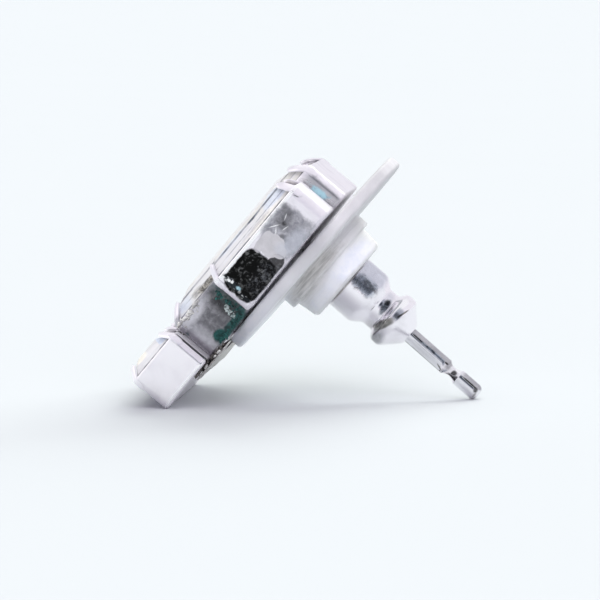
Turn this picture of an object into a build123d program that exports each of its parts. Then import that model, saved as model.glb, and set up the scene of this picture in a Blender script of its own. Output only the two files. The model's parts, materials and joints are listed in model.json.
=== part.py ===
from build123d import *
from dataclasses import dataclass
import math
import os

# All sizes are in millimetres. The head is built flat: x across it, y up it and z out of its front.
# The post runs to its back from the origin, and the last section lays the whole earring on its side.

# Sheet metal of the cups
WALL = 0.25            # side walls
BACK = 0.30            # closed backs
SOLDER_LAP = 0.06      # how far two neighbouring cups run into each other
CORNER_ROUND = 0.30    # upright edges
BACK_ROUND = 0.14      # edges around the backs
RIM_BEVEL = 0.09       # outer edge of the rims

# Stones in their cups
SEAT_GAP = 0.03        # room between a stone and its cup
GIRDLE_DROP = 0.06     # top of the girdle under the rim
GIRDLE = 0.16          # height of the girdle band
CULET = 0.30           # width of the blunt point at the back
LOWER_STEP_IN = 0.42   # the pavilion's upper step comes in by this share of the half width
LOWER_STEP_DOWN = 0.52 # and goes down by this share of the pavilion's height

# Folded corner prongs
PRONG_SHEET = 0.20     # thickness over the stone
PRONG_PROUD = 0.04     # how far they stand out from the cut corner
PRONG_ROOT = 0.60      # how far they run down the cut corner
PRONG_GAP = 0.03       # room over the stone's facets


@dataclass(frozen=True)
class Cup:
    """One cup with its stone: outer sizes of the metal, and the steps of the stone's crown."""

    width: float        # across the head
    length: float       # up the head
    height: float       # from its back to its rim
    cut: float          # how much is cut off each corner
    prong_width: float
    crown_in: tuple     # how far each step of the crown comes in
    crown_up: tuple     # how far each step of the crown rises


CENTRE = Cup(
    width=8.2, length=10.25, height=2.30, cut=0.30, prong_width=0.50,
    crown_in=(0.30, 0.36, 0.80), crown_up=(0.36, 0.25, 0.24),
)
SIDE = Cup(
    width=3.86, length=6.08, height=2.08, cut=0.28, prong_width=0.48,
    crown_in=(0.16, 0.17, 0.21), crown_up=(0.36, 0.24, 0.18),
)
ROW = Cup(
    width=3.04, length=3.10, height=2.08, cut=0.24, prong_width=0.42,
    crown_in=(0.17, 0.20, 0.26), crown_up=(0.26, 0.20, 0.14),
)
ROW_COUNT = 4

# Layout of the cups: the heights of their upper ends over the post
CENTRE_TOP = 3.45
SIDE_TOP = 2.66

# Post
POST_R = 0.40
TIP_R = 0.42           # the free tip behind the notch is a little fuller
POST_LENGTH = 11.16    # from the cups' backs
POST_LEAN = 1.3        # degrees by which its tip leans down the head
TIP_ROUND = 0.28
FOOT_R = 0.62          # solder at its foot
FOOT_HEIGHT = 0.12
NOTCH_AT = 9.42        # middle of the notch, from the cups' backs
NOTCH_WIDTH = 0.76
NECK_R = 0.24          # in the middle of the notch

# Clutch: its heights are counted along the post from the front face of the disc
DISC_GAP = 0.20        # from the cups' backs to the disc, at the post
DISC_R = 6.0
DISC_THICK = 0.66
DISC_EDGE = 0.20       # rounding of the disc's edge
COLLAR_R = 2.76        # first step behind the disc
COLLAR_END = 1.34
HUB_R = 2.44           # second step, a little tapered
HUB_REAR_R = 2.32
HUB_END = 2.50
HUB_ROUND = 0.28
FLANGE_R = 1.90        # hidden flange that holds the barrel in the hub
FLANGE_FROM = 1.55
FLANGE_TO = 1.95
BARREL_R = 1.46
BARREL_END = 3.80
SHOULDER_END = 4.32
NECK_BARREL_R = 1.06
NECK_END = 4.86
RING_R = 1.44
RING_FROM = 5.12
RING_TO = 5.62
BARREL_REAR_R = 0.56
CLUTCH_LENGTH = 6.48
CLUTCH_BORE_R = 0.46   # runs over the post and its fuller tip
CLUTCH_FIT = 0.02      # room between the barrel and the hub around it


def outline(half_width, half_length, cut):
    """Corners of a rectangle with cut corners, round once."""
    x = half_width
    y = half_length
    return [
        (x, y - cut), (x - cut, y), (cut - x, y), (-x, y - cut),
        (-x, cut - y), (cut - x, -y), (x - cut, -y), (x, cut - y),
    ]


def inner_cut(cut, inward):
    """Corner cut of an outline that lies inward of another one by the same distance all round."""
    return cut - (2 - math.sqrt(2)) * inward


def prism(points, low, high):
    """Upright block over a closed outline."""
    face = make_face(Polyline(*points, close=True))
    return extrude(Pos(0, 0, low) * face, high - low)


def cup_shell(cup):
    """Open cup with rounded edges and a bevelled rim."""
    block = prism(outline(cup.width / 2, cup.length / 2, cup.cut), 0, cup.height)
    block = fillet(block.edges().filter_by(Axis.Z), CORNER_ROUND)
    block = fillet(block.edges().group_by(Axis.Z)[0], BACK_ROUND)
    block = chamfer(block.edges().group_by(Axis.Z)[-1], RIM_BEVEL)
    inside = outline(cup.width / 2 - WALL, cup.length / 2 - WALL, inner_cut(cup.cut, WALL))
    return block - prism(inside, BACK, 2 * cup.height)


def stone_levels(cup):
    """Half width, half length, corner cut and height of each level of a stone, from its point up."""
    room = WALL + SEAT_GAP
    half_width = cup.width / 2 - room
    half_length = cup.length / 2 - room
    cut = inner_cut(cup.cut, room)
    girdle_top = cup.height - GIRDLE_DROP
    girdle_foot = girdle_top - GIRDLE
    point = BACK + SEAT_GAP
    heights = [point, girdle_foot - LOWER_STEP_DOWN * (girdle_foot - point), girdle_foot, girdle_top]
    inward = [half_width - CULET / 2, LOWER_STEP_IN * half_width, 0, 0]
    for step_in, step_up in zip(cup.crown_in, cup.crown_up):
        inward.append(inward[-1] + step_in)
        heights.append(heights[-1] + step_up)
    levels = []
    for step, height in zip(inward, heights):
        share = (half_width - step) / half_width
        levels.append((half_width - step, half_length - step, cut * share, height))
    return levels


def cut_stone(cup):
    """Step-cut stone with flat facets, a table and a blunt point."""
    rings = []
    for half_width, half_length, cut, height in stone_levels(cup):
        rings.append([(x, y, height) for x, y in outline(half_width, half_length, cut)])
    faces = [Face(Wire.make_polygon(rings[0])), Face(Wire.make_polygon(rings[-1]))]
    for lower, upper in zip(rings, rings[1:]):
        for i in range(8):
            j = (i + 1) % 8
            faces.append(Face(Wire.make_polygon([lower[i], lower[j], upper[j], upper[i]])))
    return Solid(Shell(faces))


def prong(cup):
    """Prong of a cut corner, drawn with x running inward from the middle of that corner."""
    across = cup.width / 2 + cup.length / 2 - cup.cut
    line = []
    for half_width, half_length, cut, height in stone_levels(cup)[3:-1]:
        line.append(((across - half_width - half_length + cut) / math.sqrt(2), height))
    under = [(x - PRONG_GAP, z + PRONG_GAP) for x, z in line]
    over = [(x - PRONG_SHEET, z + PRONG_SHEET) for x, z in line]
    over[0] = (-PRONG_PROUD, over[0][1] - PRONG_PROUD)
    foot = cup.height - PRONG_ROOT
    side = [(-PRONG_PROUD, foot), *over, *reversed(under), (WALL / 2, foot)]
    sheet = extrude(Plane.XZ * make_face(Polyline(*side, close=True)), cup.prong_width / 2, both=True)
    reach = line[-1][0]
    plan = Pos(0, 0, foot) * RectangleRounded(2 * reach, cup.prong_width, cup.prong_width * 0.35)
    return sheet & extrude(plan, cup.height)


def cup_prongs(cup):
    """The four prongs of a cup, in place on its cut corners."""
    prongs = []
    for side_x in (-1, 1):
        for side_y in (-1, 1):
            x = side_x * (cup.width - cup.cut) / 2
            y = side_y * (cup.length - cup.cut) / 2
            turn = math.degrees(math.atan2(-side_y, -side_x))
            prongs.append(Pos(x, y, 0) * Rot(0, 0, turn) * prong(cup))
    return prongs


def turned(points):
    """Turned solid standing on z, from its outline as radius, height and rounding."""
    profile = make_face(Polyline(*[(radius, height) for radius, height, _ in points], close=True))
    for radius, height, rounding in points:
        if rounding > 0:
            corner = profile.vertices().sort_by_distance((radius, height, 0))[0]
            profile = fillet(corner, rounding)
    return revolve(Plane.XZ * profile, Axis.Z)


# Places of the cups, as the middle of each
centre_place = Pos(0, CENTRE_TOP - CENTRE.length / 2, 0)
side_x = (CENTRE.width + SIDE.width) / 2 - SOLDER_LAP
side_y = SIDE_TOP - SIDE.length / 2
row_top = CENTRE_TOP - CENTRE.length + SOLDER_LAP
row_bottom = row_top - ROW.length
row_step = ROW.width - SOLDER_LAP
places = {
    "centre_stone": (CENTRE, centre_place),
    "side_stone_left": (SIDE, Pos(-side_x, side_y, 0)),
    "side_stone_right": (SIDE, Pos(side_x, side_y, 0)),
}
for i in range(ROW_COUNT):
    x = (i - (ROW_COUNT - 1) / 2) * row_step
    places[f"row_stone_{i + 1}"] = (ROW, Pos(x, row_top - ROW.length / 2, 0))

# Direction of the post, to the back of the head
lean = math.radians(POST_LEAN)
post_way = Vector(0, -math.sin(lean), -math.cos(lean))
post_place = Location(Plane(origin=(0, 0, 0), x_dir=(1, 0, 0), z_dir=post_way))

# Setting: all cups, their prongs and the post, soldered into one piece
post = turned([
    (0, -BACK / 2, 0), (FOOT_R, -BACK / 2, 0), (FOOT_R, FOOT_HEIGHT / 3, 0), (POST_R, FOOT_HEIGHT, 0),
    (POST_R, NOTCH_AT, 0), (TIP_R, NOTCH_AT, 0), (TIP_R, POST_LENGTH, TIP_ROUND), (0, POST_LENGTH, 0),
])
notch_depth = POST_R - NECK_R
notch_round = ((NOTCH_WIDTH / 2) ** 2 + notch_depth ** 2) / (2 * notch_depth)
post -= Pos(0, 0, NOTCH_AT) * Torus(NECK_R + notch_round, notch_round)
setting = post_place * post
for cup, place in places.values():
    setting += place * cup_shell(cup)
for cup, place in places.values():
    for piece in cup_prongs(cup):
        setting += place * piece

# Clutch: a clear disc with a stepped hub, and a turned barrel held in it
clutch_disc = turned([
    (CLUTCH_BORE_R, 0, 0), (DISC_R, 0, DISC_EDGE), (DISC_R, DISC_THICK, DISC_EDGE),
    (COLLAR_R, DISC_THICK, 0), (COLLAR_R, COLLAR_END, DISC_EDGE / 2), (HUB_R, COLLAR_END, 0),
    (HUB_REAR_R, HUB_END, HUB_ROUND), (BARREL_R + CLUTCH_FIT, HUB_END, 0),
    (BARREL_R + CLUTCH_FIT, FLANGE_TO + CLUTCH_FIT, 0), (FLANGE_R + CLUTCH_FIT, FLANGE_TO + CLUTCH_FIT, 0),
    (FLANGE_R + CLUTCH_FIT, FLANGE_FROM - CLUTCH_FIT, 0), (CLUTCH_BORE_R, FLANGE_FROM - CLUTCH_FIT, 0),
])
clutch_barrel = turned([
    (CLUTCH_BORE_R, FLANGE_FROM, 0), (FLANGE_R, FLANGE_FROM, 0), (FLANGE_R, FLANGE_TO, 0),
    (BARREL_R, FLANGE_TO, 0), (BARREL_R, BARREL_END, 0.5), (NECK_BARREL_R, SHOULDER_END, 0.2),
    (NECK_BARREL_R, NECK_END, 0.16), (RING_R, RING_FROM, 0.28), (RING_R, RING_TO, 0.28),
    (BARREL_REAR_R, CLUTCH_LENGTH, 0.05), (CLUTCH_BORE_R, CLUTCH_LENGTH, 0),
])
clutch_place = post_place * Pos(0, 0, DISC_GAP)

pieces = {"setting": setting}
for name, (cup, place) in places.items():
    pieces[name] = place * cut_stone(cup)
pieces["clutch_disc"] = clutch_place * clutch_disc
pieces["clutch_barrel"] = clutch_place * clutch_barrel

# Rest: the earring lies on the lower back edge of its row and on the post's tip
edge_y = row_bottom + BACK_ROUND
edge_z = BACK_ROUND
tip = post_way * (POST_LENGTH - TIP_ROUND) - Vector(0, math.cos(lean), -math.sin(lean)) * (TIP_R - TIP_ROUND)
run = edge_z - tip.Z
drop = edge_y - tip.Y
rest_angle = math.asin((BACK_ROUND - TIP_ROUND) / math.hypot(run, drop)) - math.atan2(drop, run)
front_way = Vector(-math.cos(rest_angle), 0, math.sin(rest_angle))
laid = Location(Plane(origin=(0, 0, 0), x_dir=(0, -1, 0), z_dir=front_way))

# The origin is the middle of the earring's box on the floor
box = Compound(children=[laid * piece for piece in pieces.values()]).bounding_box()
laid = Pos(-(box.min.X + box.max.X) / 2, -(box.min.Y + box.max.Y) / 2, -box.min.Z) * laid

os.makedirs("parts", exist_ok=True)
for name, piece in pieces.items():
    export_step(laid * piece, f"parts/{name}.step")
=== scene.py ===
"""Looks of a rhinestone stud earring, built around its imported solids.

Sizes are in millimetres. The head is described flat: x across it towards the viewer, y up it and
z out of its front, with the origin where the post is soldered on. The clutch is described standing
on z, from the front face of its disc. Matrices lay both down in metres, where the solids are.
"""

import json
import logging
import math
import random
from collections.abc import Sequence
from dataclasses import dataclass, field
from enum import Enum

import bmesh
import bpy
from mathutils import Matrix, Vector, noise


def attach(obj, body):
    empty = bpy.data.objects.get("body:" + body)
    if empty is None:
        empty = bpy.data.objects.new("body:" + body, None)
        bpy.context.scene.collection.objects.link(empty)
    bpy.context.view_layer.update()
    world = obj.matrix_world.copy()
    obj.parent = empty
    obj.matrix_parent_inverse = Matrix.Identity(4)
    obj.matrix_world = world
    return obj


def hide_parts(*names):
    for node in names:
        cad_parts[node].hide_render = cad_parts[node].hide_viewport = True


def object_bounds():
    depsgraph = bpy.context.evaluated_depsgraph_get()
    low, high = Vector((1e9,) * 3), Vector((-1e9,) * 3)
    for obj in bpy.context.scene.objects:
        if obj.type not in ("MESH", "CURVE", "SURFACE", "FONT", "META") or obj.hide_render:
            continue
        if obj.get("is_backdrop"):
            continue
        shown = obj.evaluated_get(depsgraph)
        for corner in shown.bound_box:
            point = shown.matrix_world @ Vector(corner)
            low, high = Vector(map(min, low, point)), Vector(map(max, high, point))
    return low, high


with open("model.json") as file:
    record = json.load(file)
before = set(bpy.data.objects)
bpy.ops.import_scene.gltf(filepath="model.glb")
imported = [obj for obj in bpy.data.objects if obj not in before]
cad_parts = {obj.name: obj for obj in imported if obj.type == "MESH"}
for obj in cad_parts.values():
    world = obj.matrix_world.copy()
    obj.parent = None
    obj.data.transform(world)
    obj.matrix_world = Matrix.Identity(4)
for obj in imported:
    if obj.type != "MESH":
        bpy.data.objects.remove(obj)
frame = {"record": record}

MM = 0.001
LOG = logging.getLogger("earring")

Colour = tuple[float, float, float]
Socket = bpy.types.NodeSocket
Value = Socket | float
Point = tuple[float, float, float]


class Body(Enum):
    """The two parts that move against each other."""

    HEAD = "head"
    CLUTCH = "clutch"


class Slot(Enum):
    """Finishes that the part's record names."""

    PLATED = "plated_metal"
    STONE = "stone_glass"
    PLASTIC = "clear_plastic"
    CLUTCH_METAL = "clutch_metal"


@dataclass(frozen=True)
class Lie:
    """How the earring lies on its side, read from the mount on its post."""

    mount_name: str = "ear_post"
    mount_at: float = 10.35          # from the cups' backs to the middle of the mount
    lean: float = math.radians(1.3)  # by which the post's tip leans down the head

    def mount(self) -> dict:
        """The mount's row in the part's record."""
        return next(m for m in frame["record"]["mounts"] if m["name"] == self.mount_name)

    def post_way(self) -> Vector:
        """Direction of the post, away from the head."""
        return Vector(self.mount()["axis"]).normalized()

    def foot(self) -> Vector:
        """Where the post is soldered on, in metres."""
        return Vector(self.mount()["pos_m"]) - self.post_way() * self.mount_at * MM

    def head_matrix(self) -> Matrix:
        """Lays the flat head down.

        Returns:
            Matrix from the head's millimetres, scaled to metres, to the part's frame.
        """
        way = self.post_way()
        tilt = math.atan2(-way.z, way.x) - self.lean
        across = Vector((0, -1, 0))
        up = Vector((math.sin(tilt), 0, math.cos(tilt)))
        front = Vector((-math.cos(tilt), 0, math.sin(tilt)))
        return self._matrix(across, up, front, self.foot())

    def clutch_matrix(self, gap: float) -> Matrix:
        """Lays the clutch down on the post.

        Args:
            gap: Room between the cups' backs and the front of the clutch.

        Returns:
            Matrix from the clutch's millimetres, scaled to metres, to the part's frame.
        """
        way = self.post_way()
        across = Vector((0, -1, 0))
        return self._matrix(across, way.cross(across), way, self.foot() + way * gap * MM)

    @staticmethod
    def _matrix(x: Vector, y: Vector, z: Vector, origin: Vector) -> Matrix:
        """Matrix with these axes and origin."""
        turn = Matrix((x, y, z)).transposed()
        return Matrix.Translation(origin) @ turn.to_4x4()


class Recipe:
    """Node tree of one procedural material, with places in millimetres of the head or the clutch."""

    def __init__(self, name: str, laid: Matrix) -> None:
        """Starts an empty material with one shader.

        Args:
            name: Name of the material.
            laid: Matrix by which the pieces that wear it were laid down.
        """
        self.material = bpy.data.materials.new(name)
        self.material.use_nodes = True
        self.tree = self.material.node_tree
        self.tree.nodes.clear()
        self.shader = self.node("ShaderNodeBsdfPrincipled")
        output = self.node("ShaderNodeOutputMaterial")
        self.tree.links.new(self.shader.outputs["BSDF"], output.inputs["Surface"])
        texture = self.node("ShaderNodeTexCoord")
        stood_up = self.node("ShaderNodeMapping", vector_type="TEXTURE")
        self.feed(stood_up.inputs["Vector"], texture.outputs["Object"])
        self.feed(stood_up.inputs["Location"], tuple(laid.translation))
        self.feed(stood_up.inputs["Rotation"], tuple(laid.to_euler()))
        self.feed(stood_up.inputs["Scale"], (MM,) * 3)
        self.place = stood_up.outputs["Vector"]
        self.wander = self.maths("SUBTRACT", self.cloud(2.6, 5.0, 0.6, 0.4), 0.5)

    def node(self, kind: str, **settings: object) -> bpy.types.Node:
        """Adds a node.

        Args:
            kind: Blender's name of the node type.
            **settings: Properties to set on it.

        Returns:
            The new node.
        """
        made = self.tree.nodes.new(kind)
        for name, value in settings.items():
            setattr(made, name, value)
        return made

    def feed(self, socket: Socket, value: Socket | float | Sequence[float]) -> None:
        """Links a socket, or sets its own value.

        Args:
            socket: Input to fill.
            value: Output to link, or a constant.
        """
        if isinstance(value, bpy.types.NodeSocket):
            self.tree.links.new(value, socket)
        elif isinstance(value, (int, float)):
            socket.default_value = value
        else:
            wanted = len(socket.default_value)
            socket.default_value = (*value, 1.0)[:wanted]

    def shade(self, **inputs: Socket | float | Sequence[float]) -> "Recipe":
        """Sets the shader's inputs, named in lower case with underscores.

        Args:
            **inputs: Value or output for each input.

        Returns:
            This recipe.
        """
        by_name = {socket.name.lower().replace(" ", "_"): socket for socket in self.shader.inputs}
        for name, value in inputs.items():
            self.feed(by_name[name], value)
        return self

    def maths(self, operation: str, *values: Value) -> Socket:
        """One step of arithmetic.

        Args:
            operation: Blender's name of the operation.
            *values: Its numbers or outputs.

        Returns:
            The result.
        """
        made = self.node("ShaderNodeMath", operation=operation)
        for socket, value in zip(made.inputs, values):
            self.feed(socket, value)
        return made.outputs[0]

    def stretched(self, place: Socket, scale: Sequence[float]) -> Socket:
        """Places scaled by one number along each axis."""
        made = self.node("ShaderNodeVectorMath", operation="MULTIPLY")
        self.feed(made.inputs[0], place)
        self.feed(made.inputs[1], scale)
        return made.outputs[0]

    def cloud(self, scale: float, detail: float = 3.0, rough: float = 0.55, warp: float = 0.0,
              stretch: Point = (1.0, 1.0, 1.0), shift: float = 0.0) -> Socket:
        """Soft noise.

        Args:
            scale: Waves in a millimetre.
            detail: Number of finer layers.
            rough: Strength of the finer layers.
            warp: Distortion.
            stretch: Further scale along each axis.
            shift: Slides the noise, so that two of the same scale differ.

        Returns:
            Noise around 0.5.
        """
        made = self.node("ShaderNodeTexNoise", noise_dimensions="4D")
        self.feed(made.inputs["Vector"], self.stretched(self.place, stretch))
        values = {"W": shift, "Scale": scale, "Detail": detail, "Roughness": rough, "Distortion": warp}
        for name, value in values.items():
            self.feed(made.inputs[name], value)
        return made.outputs["Fac"]

    def grains(self, scale: float, shift: float = 0.0, feature: str = "F1") -> Socket:
        """Distance to the middle, or the edge, of the nearest of many small cells.

        Args:
            scale: Cells in a millimetre.
            shift: Slides the cells.
            feature: Blender's name of the distance.

        Returns:
            Distance as a share of a cell.
        """
        made = self.node("ShaderNodeTexVoronoi", voronoi_dimensions="4D", feature=feature)
        self.feed(made.inputs["Vector"], self.place)
        self.feed(made.inputs["W"], shift)
        self.feed(made.inputs["Scale"], scale)
        return made.outputs["Distance"]

    def fade(self, value: Value, low: float, high: float, start: float = 0.0, end: float = 1.0) -> Socket:
        """Smooth step of a value.

        Args:
            value: What to read.
            low: Value at the start.
            high: Value at the end.
            start: Result at low.
            end: Result at high.

        Returns:
            The stepped value.
        """
        made = self.node("ShaderNodeMapRange", interpolation_type="SMOOTHSTEP")
        for socket, number in zip(made.inputs, (value, low, high, start, end)):
            self.feed(socket, number)
        return made.outputs[0]

    def mix(self, share: Value, first: Socket | Colour, second: Socket | Colour) -> Socket:
        """Blend of two colours.

        Args:
            share: Share of the second.
            first: One colour.
            second: The other.

        Returns:
            The mixed colour.
        """
        made = self.node("ShaderNodeMix", data_type="RGBA")
        self.feed(made.inputs[0], share)
        self.feed(made.inputs[6], first)
        self.feed(made.inputs[7], second)
        return made.outputs[2]

    def between(self, share: Value, first: Value, second: Value) -> Socket:
        """Blend of two numbers.

        Args:
            share: Share of the second.
            first: One number.
            second: The other.

        Returns:
            The mixed number.
        """
        made = self.node("ShaderNodeMix", data_type="FLOAT")
        self.feed(made.inputs[0], share)
        self.feed(made.inputs[2], first)
        self.feed(made.inputs[3], second)
        return made.outputs[0]

    def relief(self, height: Socket, strength: float = 1.0) -> Socket:
        """Bump from a height in millimetres."""
        made = self.node("ShaderNodeBump")
        self.feed(made.inputs["Strength"], strength)
        self.feed(made.inputs["Distance"], MM)
        self.feed(made.inputs["Height"], height)
        return made.outputs["Normal"]

    def within(self, patch: "Patch") -> Socket:
        """Mask of a rounded region with a ragged edge.

        Args:
            patch: The region.

        Returns:
            1 inside and 0 outside.
        """
        moved = self.node("ShaderNodeVectorMath", operation="SUBTRACT")
        self.feed(moved.inputs[0], self.place)
        self.feed(moved.inputs[1], patch.middle)
        turned = self.node("ShaderNodeVectorRotate", rotation_type="X_AXIS")
        self.feed(turned.inputs["Vector"], moved.outputs[0])
        self.feed(turned.inputs["Angle"], math.radians(-patch.turn))
        shares = self.stretched(turned.outputs[0], [1 / radius for radius in patch.radii])
        size = self.node("ShaderNodeVectorMath", operation="ABSOLUTE")
        self.feed(size.inputs[0], shares)
        split = self.node("ShaderNodeSeparateXYZ")
        self.feed(split.inputs[0], size.outputs[0])
        powers = [self.maths("POWER", axis, patch.square) for axis in split.outputs]
        total = self.maths("ADD", self.maths("ADD", powers[0], powers[1]), powers[2])
        reach = self.maths("POWER", total, 1 / patch.square)
        edge = self.maths("ADD", reach, self.maths("MULTIPLY", self.wander, patch.ragged * 4))
        mask = self.fade(edge, 1.0 + patch.soft, 1.0 - patch.soft)
        return self.maths("MULTIPLY", mask, patch.strength)


class Stain(Enum):
    """Marks that wear, solder and damp leave on the metal, and light painted into the colour: highlights,
    glints, reflections and shade.
    """

    TARNISH = "tarnish"
    DEEP_TARNISH = "deep tarnish"
    CLEAN = "clean"
    # soot, and painted dark reflections and shade on the side cup, the row's edge, the post and the barrel
    SOOT = "soot"
    # grit, laid as specks in painted dark reflections
    GRIT = "grit"
    # painted glints
    GLINTS = "glints"
    # solder smear, also painted pale like a reflection
    SOLDER = "solder"
    VERDIGRIS = "verdigris"
    TURQUOISE = "turquoise"
    # painted brown shade
    BROWN = "brown"
    # painted blue-grey reflections, and painted dark lines on the stones
    BLUED = "blued"
    # painted highlights
    BRIGHT = "bright"
    # painted hazy grey reflections
    HAZE = "haze"
    # painted shade and reflections, and grey tarnish on the centre cup
    SHADE = "shade"
    # painted olive-grey reflections
    OLIVE = "olive"
    # painted sky-blue reflections in the stones
    SKY = "sky"
    # painted cream reflections in the stones
    CREAM = "cream"
    # painted brown reflection of the side cup in the centre stone
    GRAIN = "grain"
    # painted pale sheen on edges and cut corners
    BLOOM = "bloom"
    SCUFF = "scuff"
    FROST = "frost"
    # painted grey shade
    DULL = "dull"


@dataclass(frozen=True)
class StainLook:
    """Look of one kind of stain or of painted light: two colours mixed in grains, and its surface."""

    light: Colour
    dark: Colour
    grain: float       # grains in a millimetre
    share: float       # noise above which a grain is light, about 0.5
    contrast: float    # 0.5 is soft, 0.05 is sharp
    metallic: float
    roughness: float
    height: float      # of its relief
    stretch: Point = (1.0, 1.0, 1.0)   # further grains along each axis, for streaks


STAIN_LOOKS = {
    Stain.TARNISH: StainLook((0.52, 0.51, 0.55), (0.20, 0.20, 0.23), 3.2, 0.50, 0.36, 0.9, 0.36, 0.008),
    Stain.DEEP_TARNISH: StainLook((0.26, 0.255, 0.27), (0.075, 0.075, 0.08), 2.6, 0.50, 0.30, 0.9, 0.40,
                                  0.012),
    Stain.CLEAN: StainLook((0.80, 0.78, 0.83), (0.60, 0.58, 0.62), 1.6, 0.45, 0.40, 1.0, 0.30, 0.006),
    Stain.SOOT: StainLook((0.13, 0.13, 0.13), (0.009, 0.009, 0.009), 4.5, 0.58, 0.14, 1.0, 0.34, 0.030),
    Stain.GRIT: StainLook((0.26, 0.27, 0.30), (0.020, 0.020, 0.023), 5.0, 0.55, 0.12, 1.0, 0.38, 0.030),
    Stain.GLINTS: StainLook((1.0, 1.0, 1.0), (0.03, 0.035, 0.04), 4.2, 0.54, 0.05, 1.0, 0.18, 0.040),
    Stain.SOLDER: StainLook((0.76, 0.73, 0.76), (0.60, 0.58, 0.60), 1.2, 0.50, 0.40, 0.9, 0.38, 0.004),
    Stain.VERDIGRIS: StainLook((0.030, 0.130, 0.120), (0.006, 0.036, 0.034), 3.4, 0.50, 0.24, 0.4, 0.60,
                               0.020),
    Stain.TURQUOISE: StainLook((0.44, 0.68, 0.76), (0.24, 0.44, 0.52), 3.5, 0.45, 0.25, 0.4, 0.50, 0.012),
    Stain.BROWN: StainLook((0.40, 0.37, 0.35), (0.12, 0.105, 0.095), 3.0, 0.50, 0.25, 0.8, 0.40, 0.010),
    Stain.BLUED: StainLook((0.42, 0.47, 0.54), (0.045, 0.055, 0.075), 3.2, 0.50, 0.16, 1.0, 0.30, 0.012),
    Stain.BRIGHT: StainLook((1.0, 1.0, 1.0), (0.97, 0.96, 0.97), 1.5, 0.50, 0.40, 1.0, 0.16, 0.002),
    Stain.HAZE: StainLook((0.68, 0.69, 0.76), (0.54, 0.55, 0.62), 1.2, 0.50, 0.40, 1.0, 0.26, 0.003),
    Stain.SHADE: StainLook((0.50, 0.49, 0.51), (0.33, 0.33, 0.35), 1.6, 0.50, 0.40, 1.0, 0.24, 0.004),
    Stain.OLIVE: StainLook((0.34, 0.33, 0.30), (0.11, 0.105, 0.095), 2.2, 0.50, 0.25, 1.0, 0.24, 0.004),
    Stain.SKY: StainLook((0.72, 0.79, 0.90), (0.52, 0.59, 0.72), 1.8, 0.45, 0.30, 0.0, 0.10, 0.0),
    Stain.CREAM: StainLook((1.0, 0.98, 0.90), (0.90, 0.86, 0.74), 1.8, 0.45, 0.40, 0.0, 0.10, 0.0),
    Stain.GRAIN: StainLook((0.40, 0.38, 0.34), (0.045, 0.040, 0.034), 4.2, 0.50, 0.14, 0.3, 0.25, 0.0),
    Stain.BLOOM: StainLook((0.68, 0.66, 0.71), (0.60, 0.58, 0.63), 1.4, 0.50, 0.40, 0.1, 0.50, 0.002),
    Stain.SCUFF: StainLook((0.66, 0.65, 0.63), (0.36, 0.355, 0.34), 2.2, 0.50, 0.30, 0.0, 0.50, 0.0,
                           (0.35, 0.35, 3.2)),
    Stain.DULL: StainLook((0.45, 0.44, 0.48), (0.37, 0.36, 0.40), 1.6, 0.50, 0.40, 0.0, 0.50, 0.0),
    Stain.FROST: StainLook((0.96, 0.97, 1.00), (0.84, 0.87, 0.95), 1.8, 0.50, 0.40, 0.0, 0.40, 0.0),
}


@dataclass(frozen=True)
class Patch:
    """One stain, or one patch of painted light, on the metal: a ragged rounded region around a point."""

    stain: Stain
    middle: Point
    radii: Point
    square: float = 3.0            # 2 for an ellipsoid, more for a boxier region
    ragged: float = 0.20           # how far noise moves its edge, as a share of the radii
    soft: float = 0.10             # width of its edge, as a share of the radii
    strength: float = 1.0
    turn: float = 0.0              # degrees about the first axis


@dataclass
class Surface:
    """Colour, metal, roughness and height of a surface, while stains and painted light are laid over it."""

    recipe: Recipe
    colour: Socket
    metallic: Value
    rough: Value
    height: Socket
    clearness: Value | None = None     # of glass
    grains: dict[Stain, tuple[Socket, Socket]] = field(default_factory=dict)

    def grain(self, stain: Stain) -> tuple[Socket, Socket]:
        """Grain of a kind of stain, made once.

        Args:
            stain: The kind.

        Returns:
            Its noise, and its colour.
        """
        if stain not in self.grains:
            look = STAIN_LOOKS[stain]
            noise_of = self.recipe.cloud(look.grain, 6.0, 0.65, 0.5, look.stretch, 1.3 * len(self.grains))
            speck = self.recipe.fade(noise_of, look.share - look.contrast / 2, look.share + look.contrast / 2)
            self.grains[stain] = (noise_of, self.recipe.mix(speck, look.dark, look.light))
        return self.grains[stain]

    def stain(self, patches: Sequence[Patch]) -> None:
        """Lays stains and painted light over each other in order.

        Args:
            patches: The stains and the patches of painted light.
        """
        recipe = self.recipe
        for patch in patches:
            look = STAIN_LOOKS[patch.stain]
            mask = recipe.within(patch)
            grain, colour = self.grain(patch.stain)
            self.colour = recipe.mix(mask, self.colour, colour)
            self.rough = recipe.between(mask, self.rough, look.roughness)
            self.metallic = recipe.between(mask, self.metallic, look.metallic)
            if self.clearness is not None:
                self.clearness = recipe.between(mask, self.clearness, 0.0)
            if look.height > 0.01:
                lumps = recipe.maths("MULTIPLY", recipe.maths("MULTIPLY", grain, look.height), mask)
                self.height = recipe.maths("ADD", self.height, lumps)

    def finish(self) -> bpy.types.Material:
        """Hands the surface to the shader.

        Returns:
            The finished material.
        """
        self.recipe.shade(base_color=self.colour, metallic=self.metallic, roughness=self.rough,
                          normal=self.recipe.relief(self.height))
        if self.clearness is not None:
            self.recipe.shade(transmission_weight=self.clearness)
        return self.recipe.material


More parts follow.
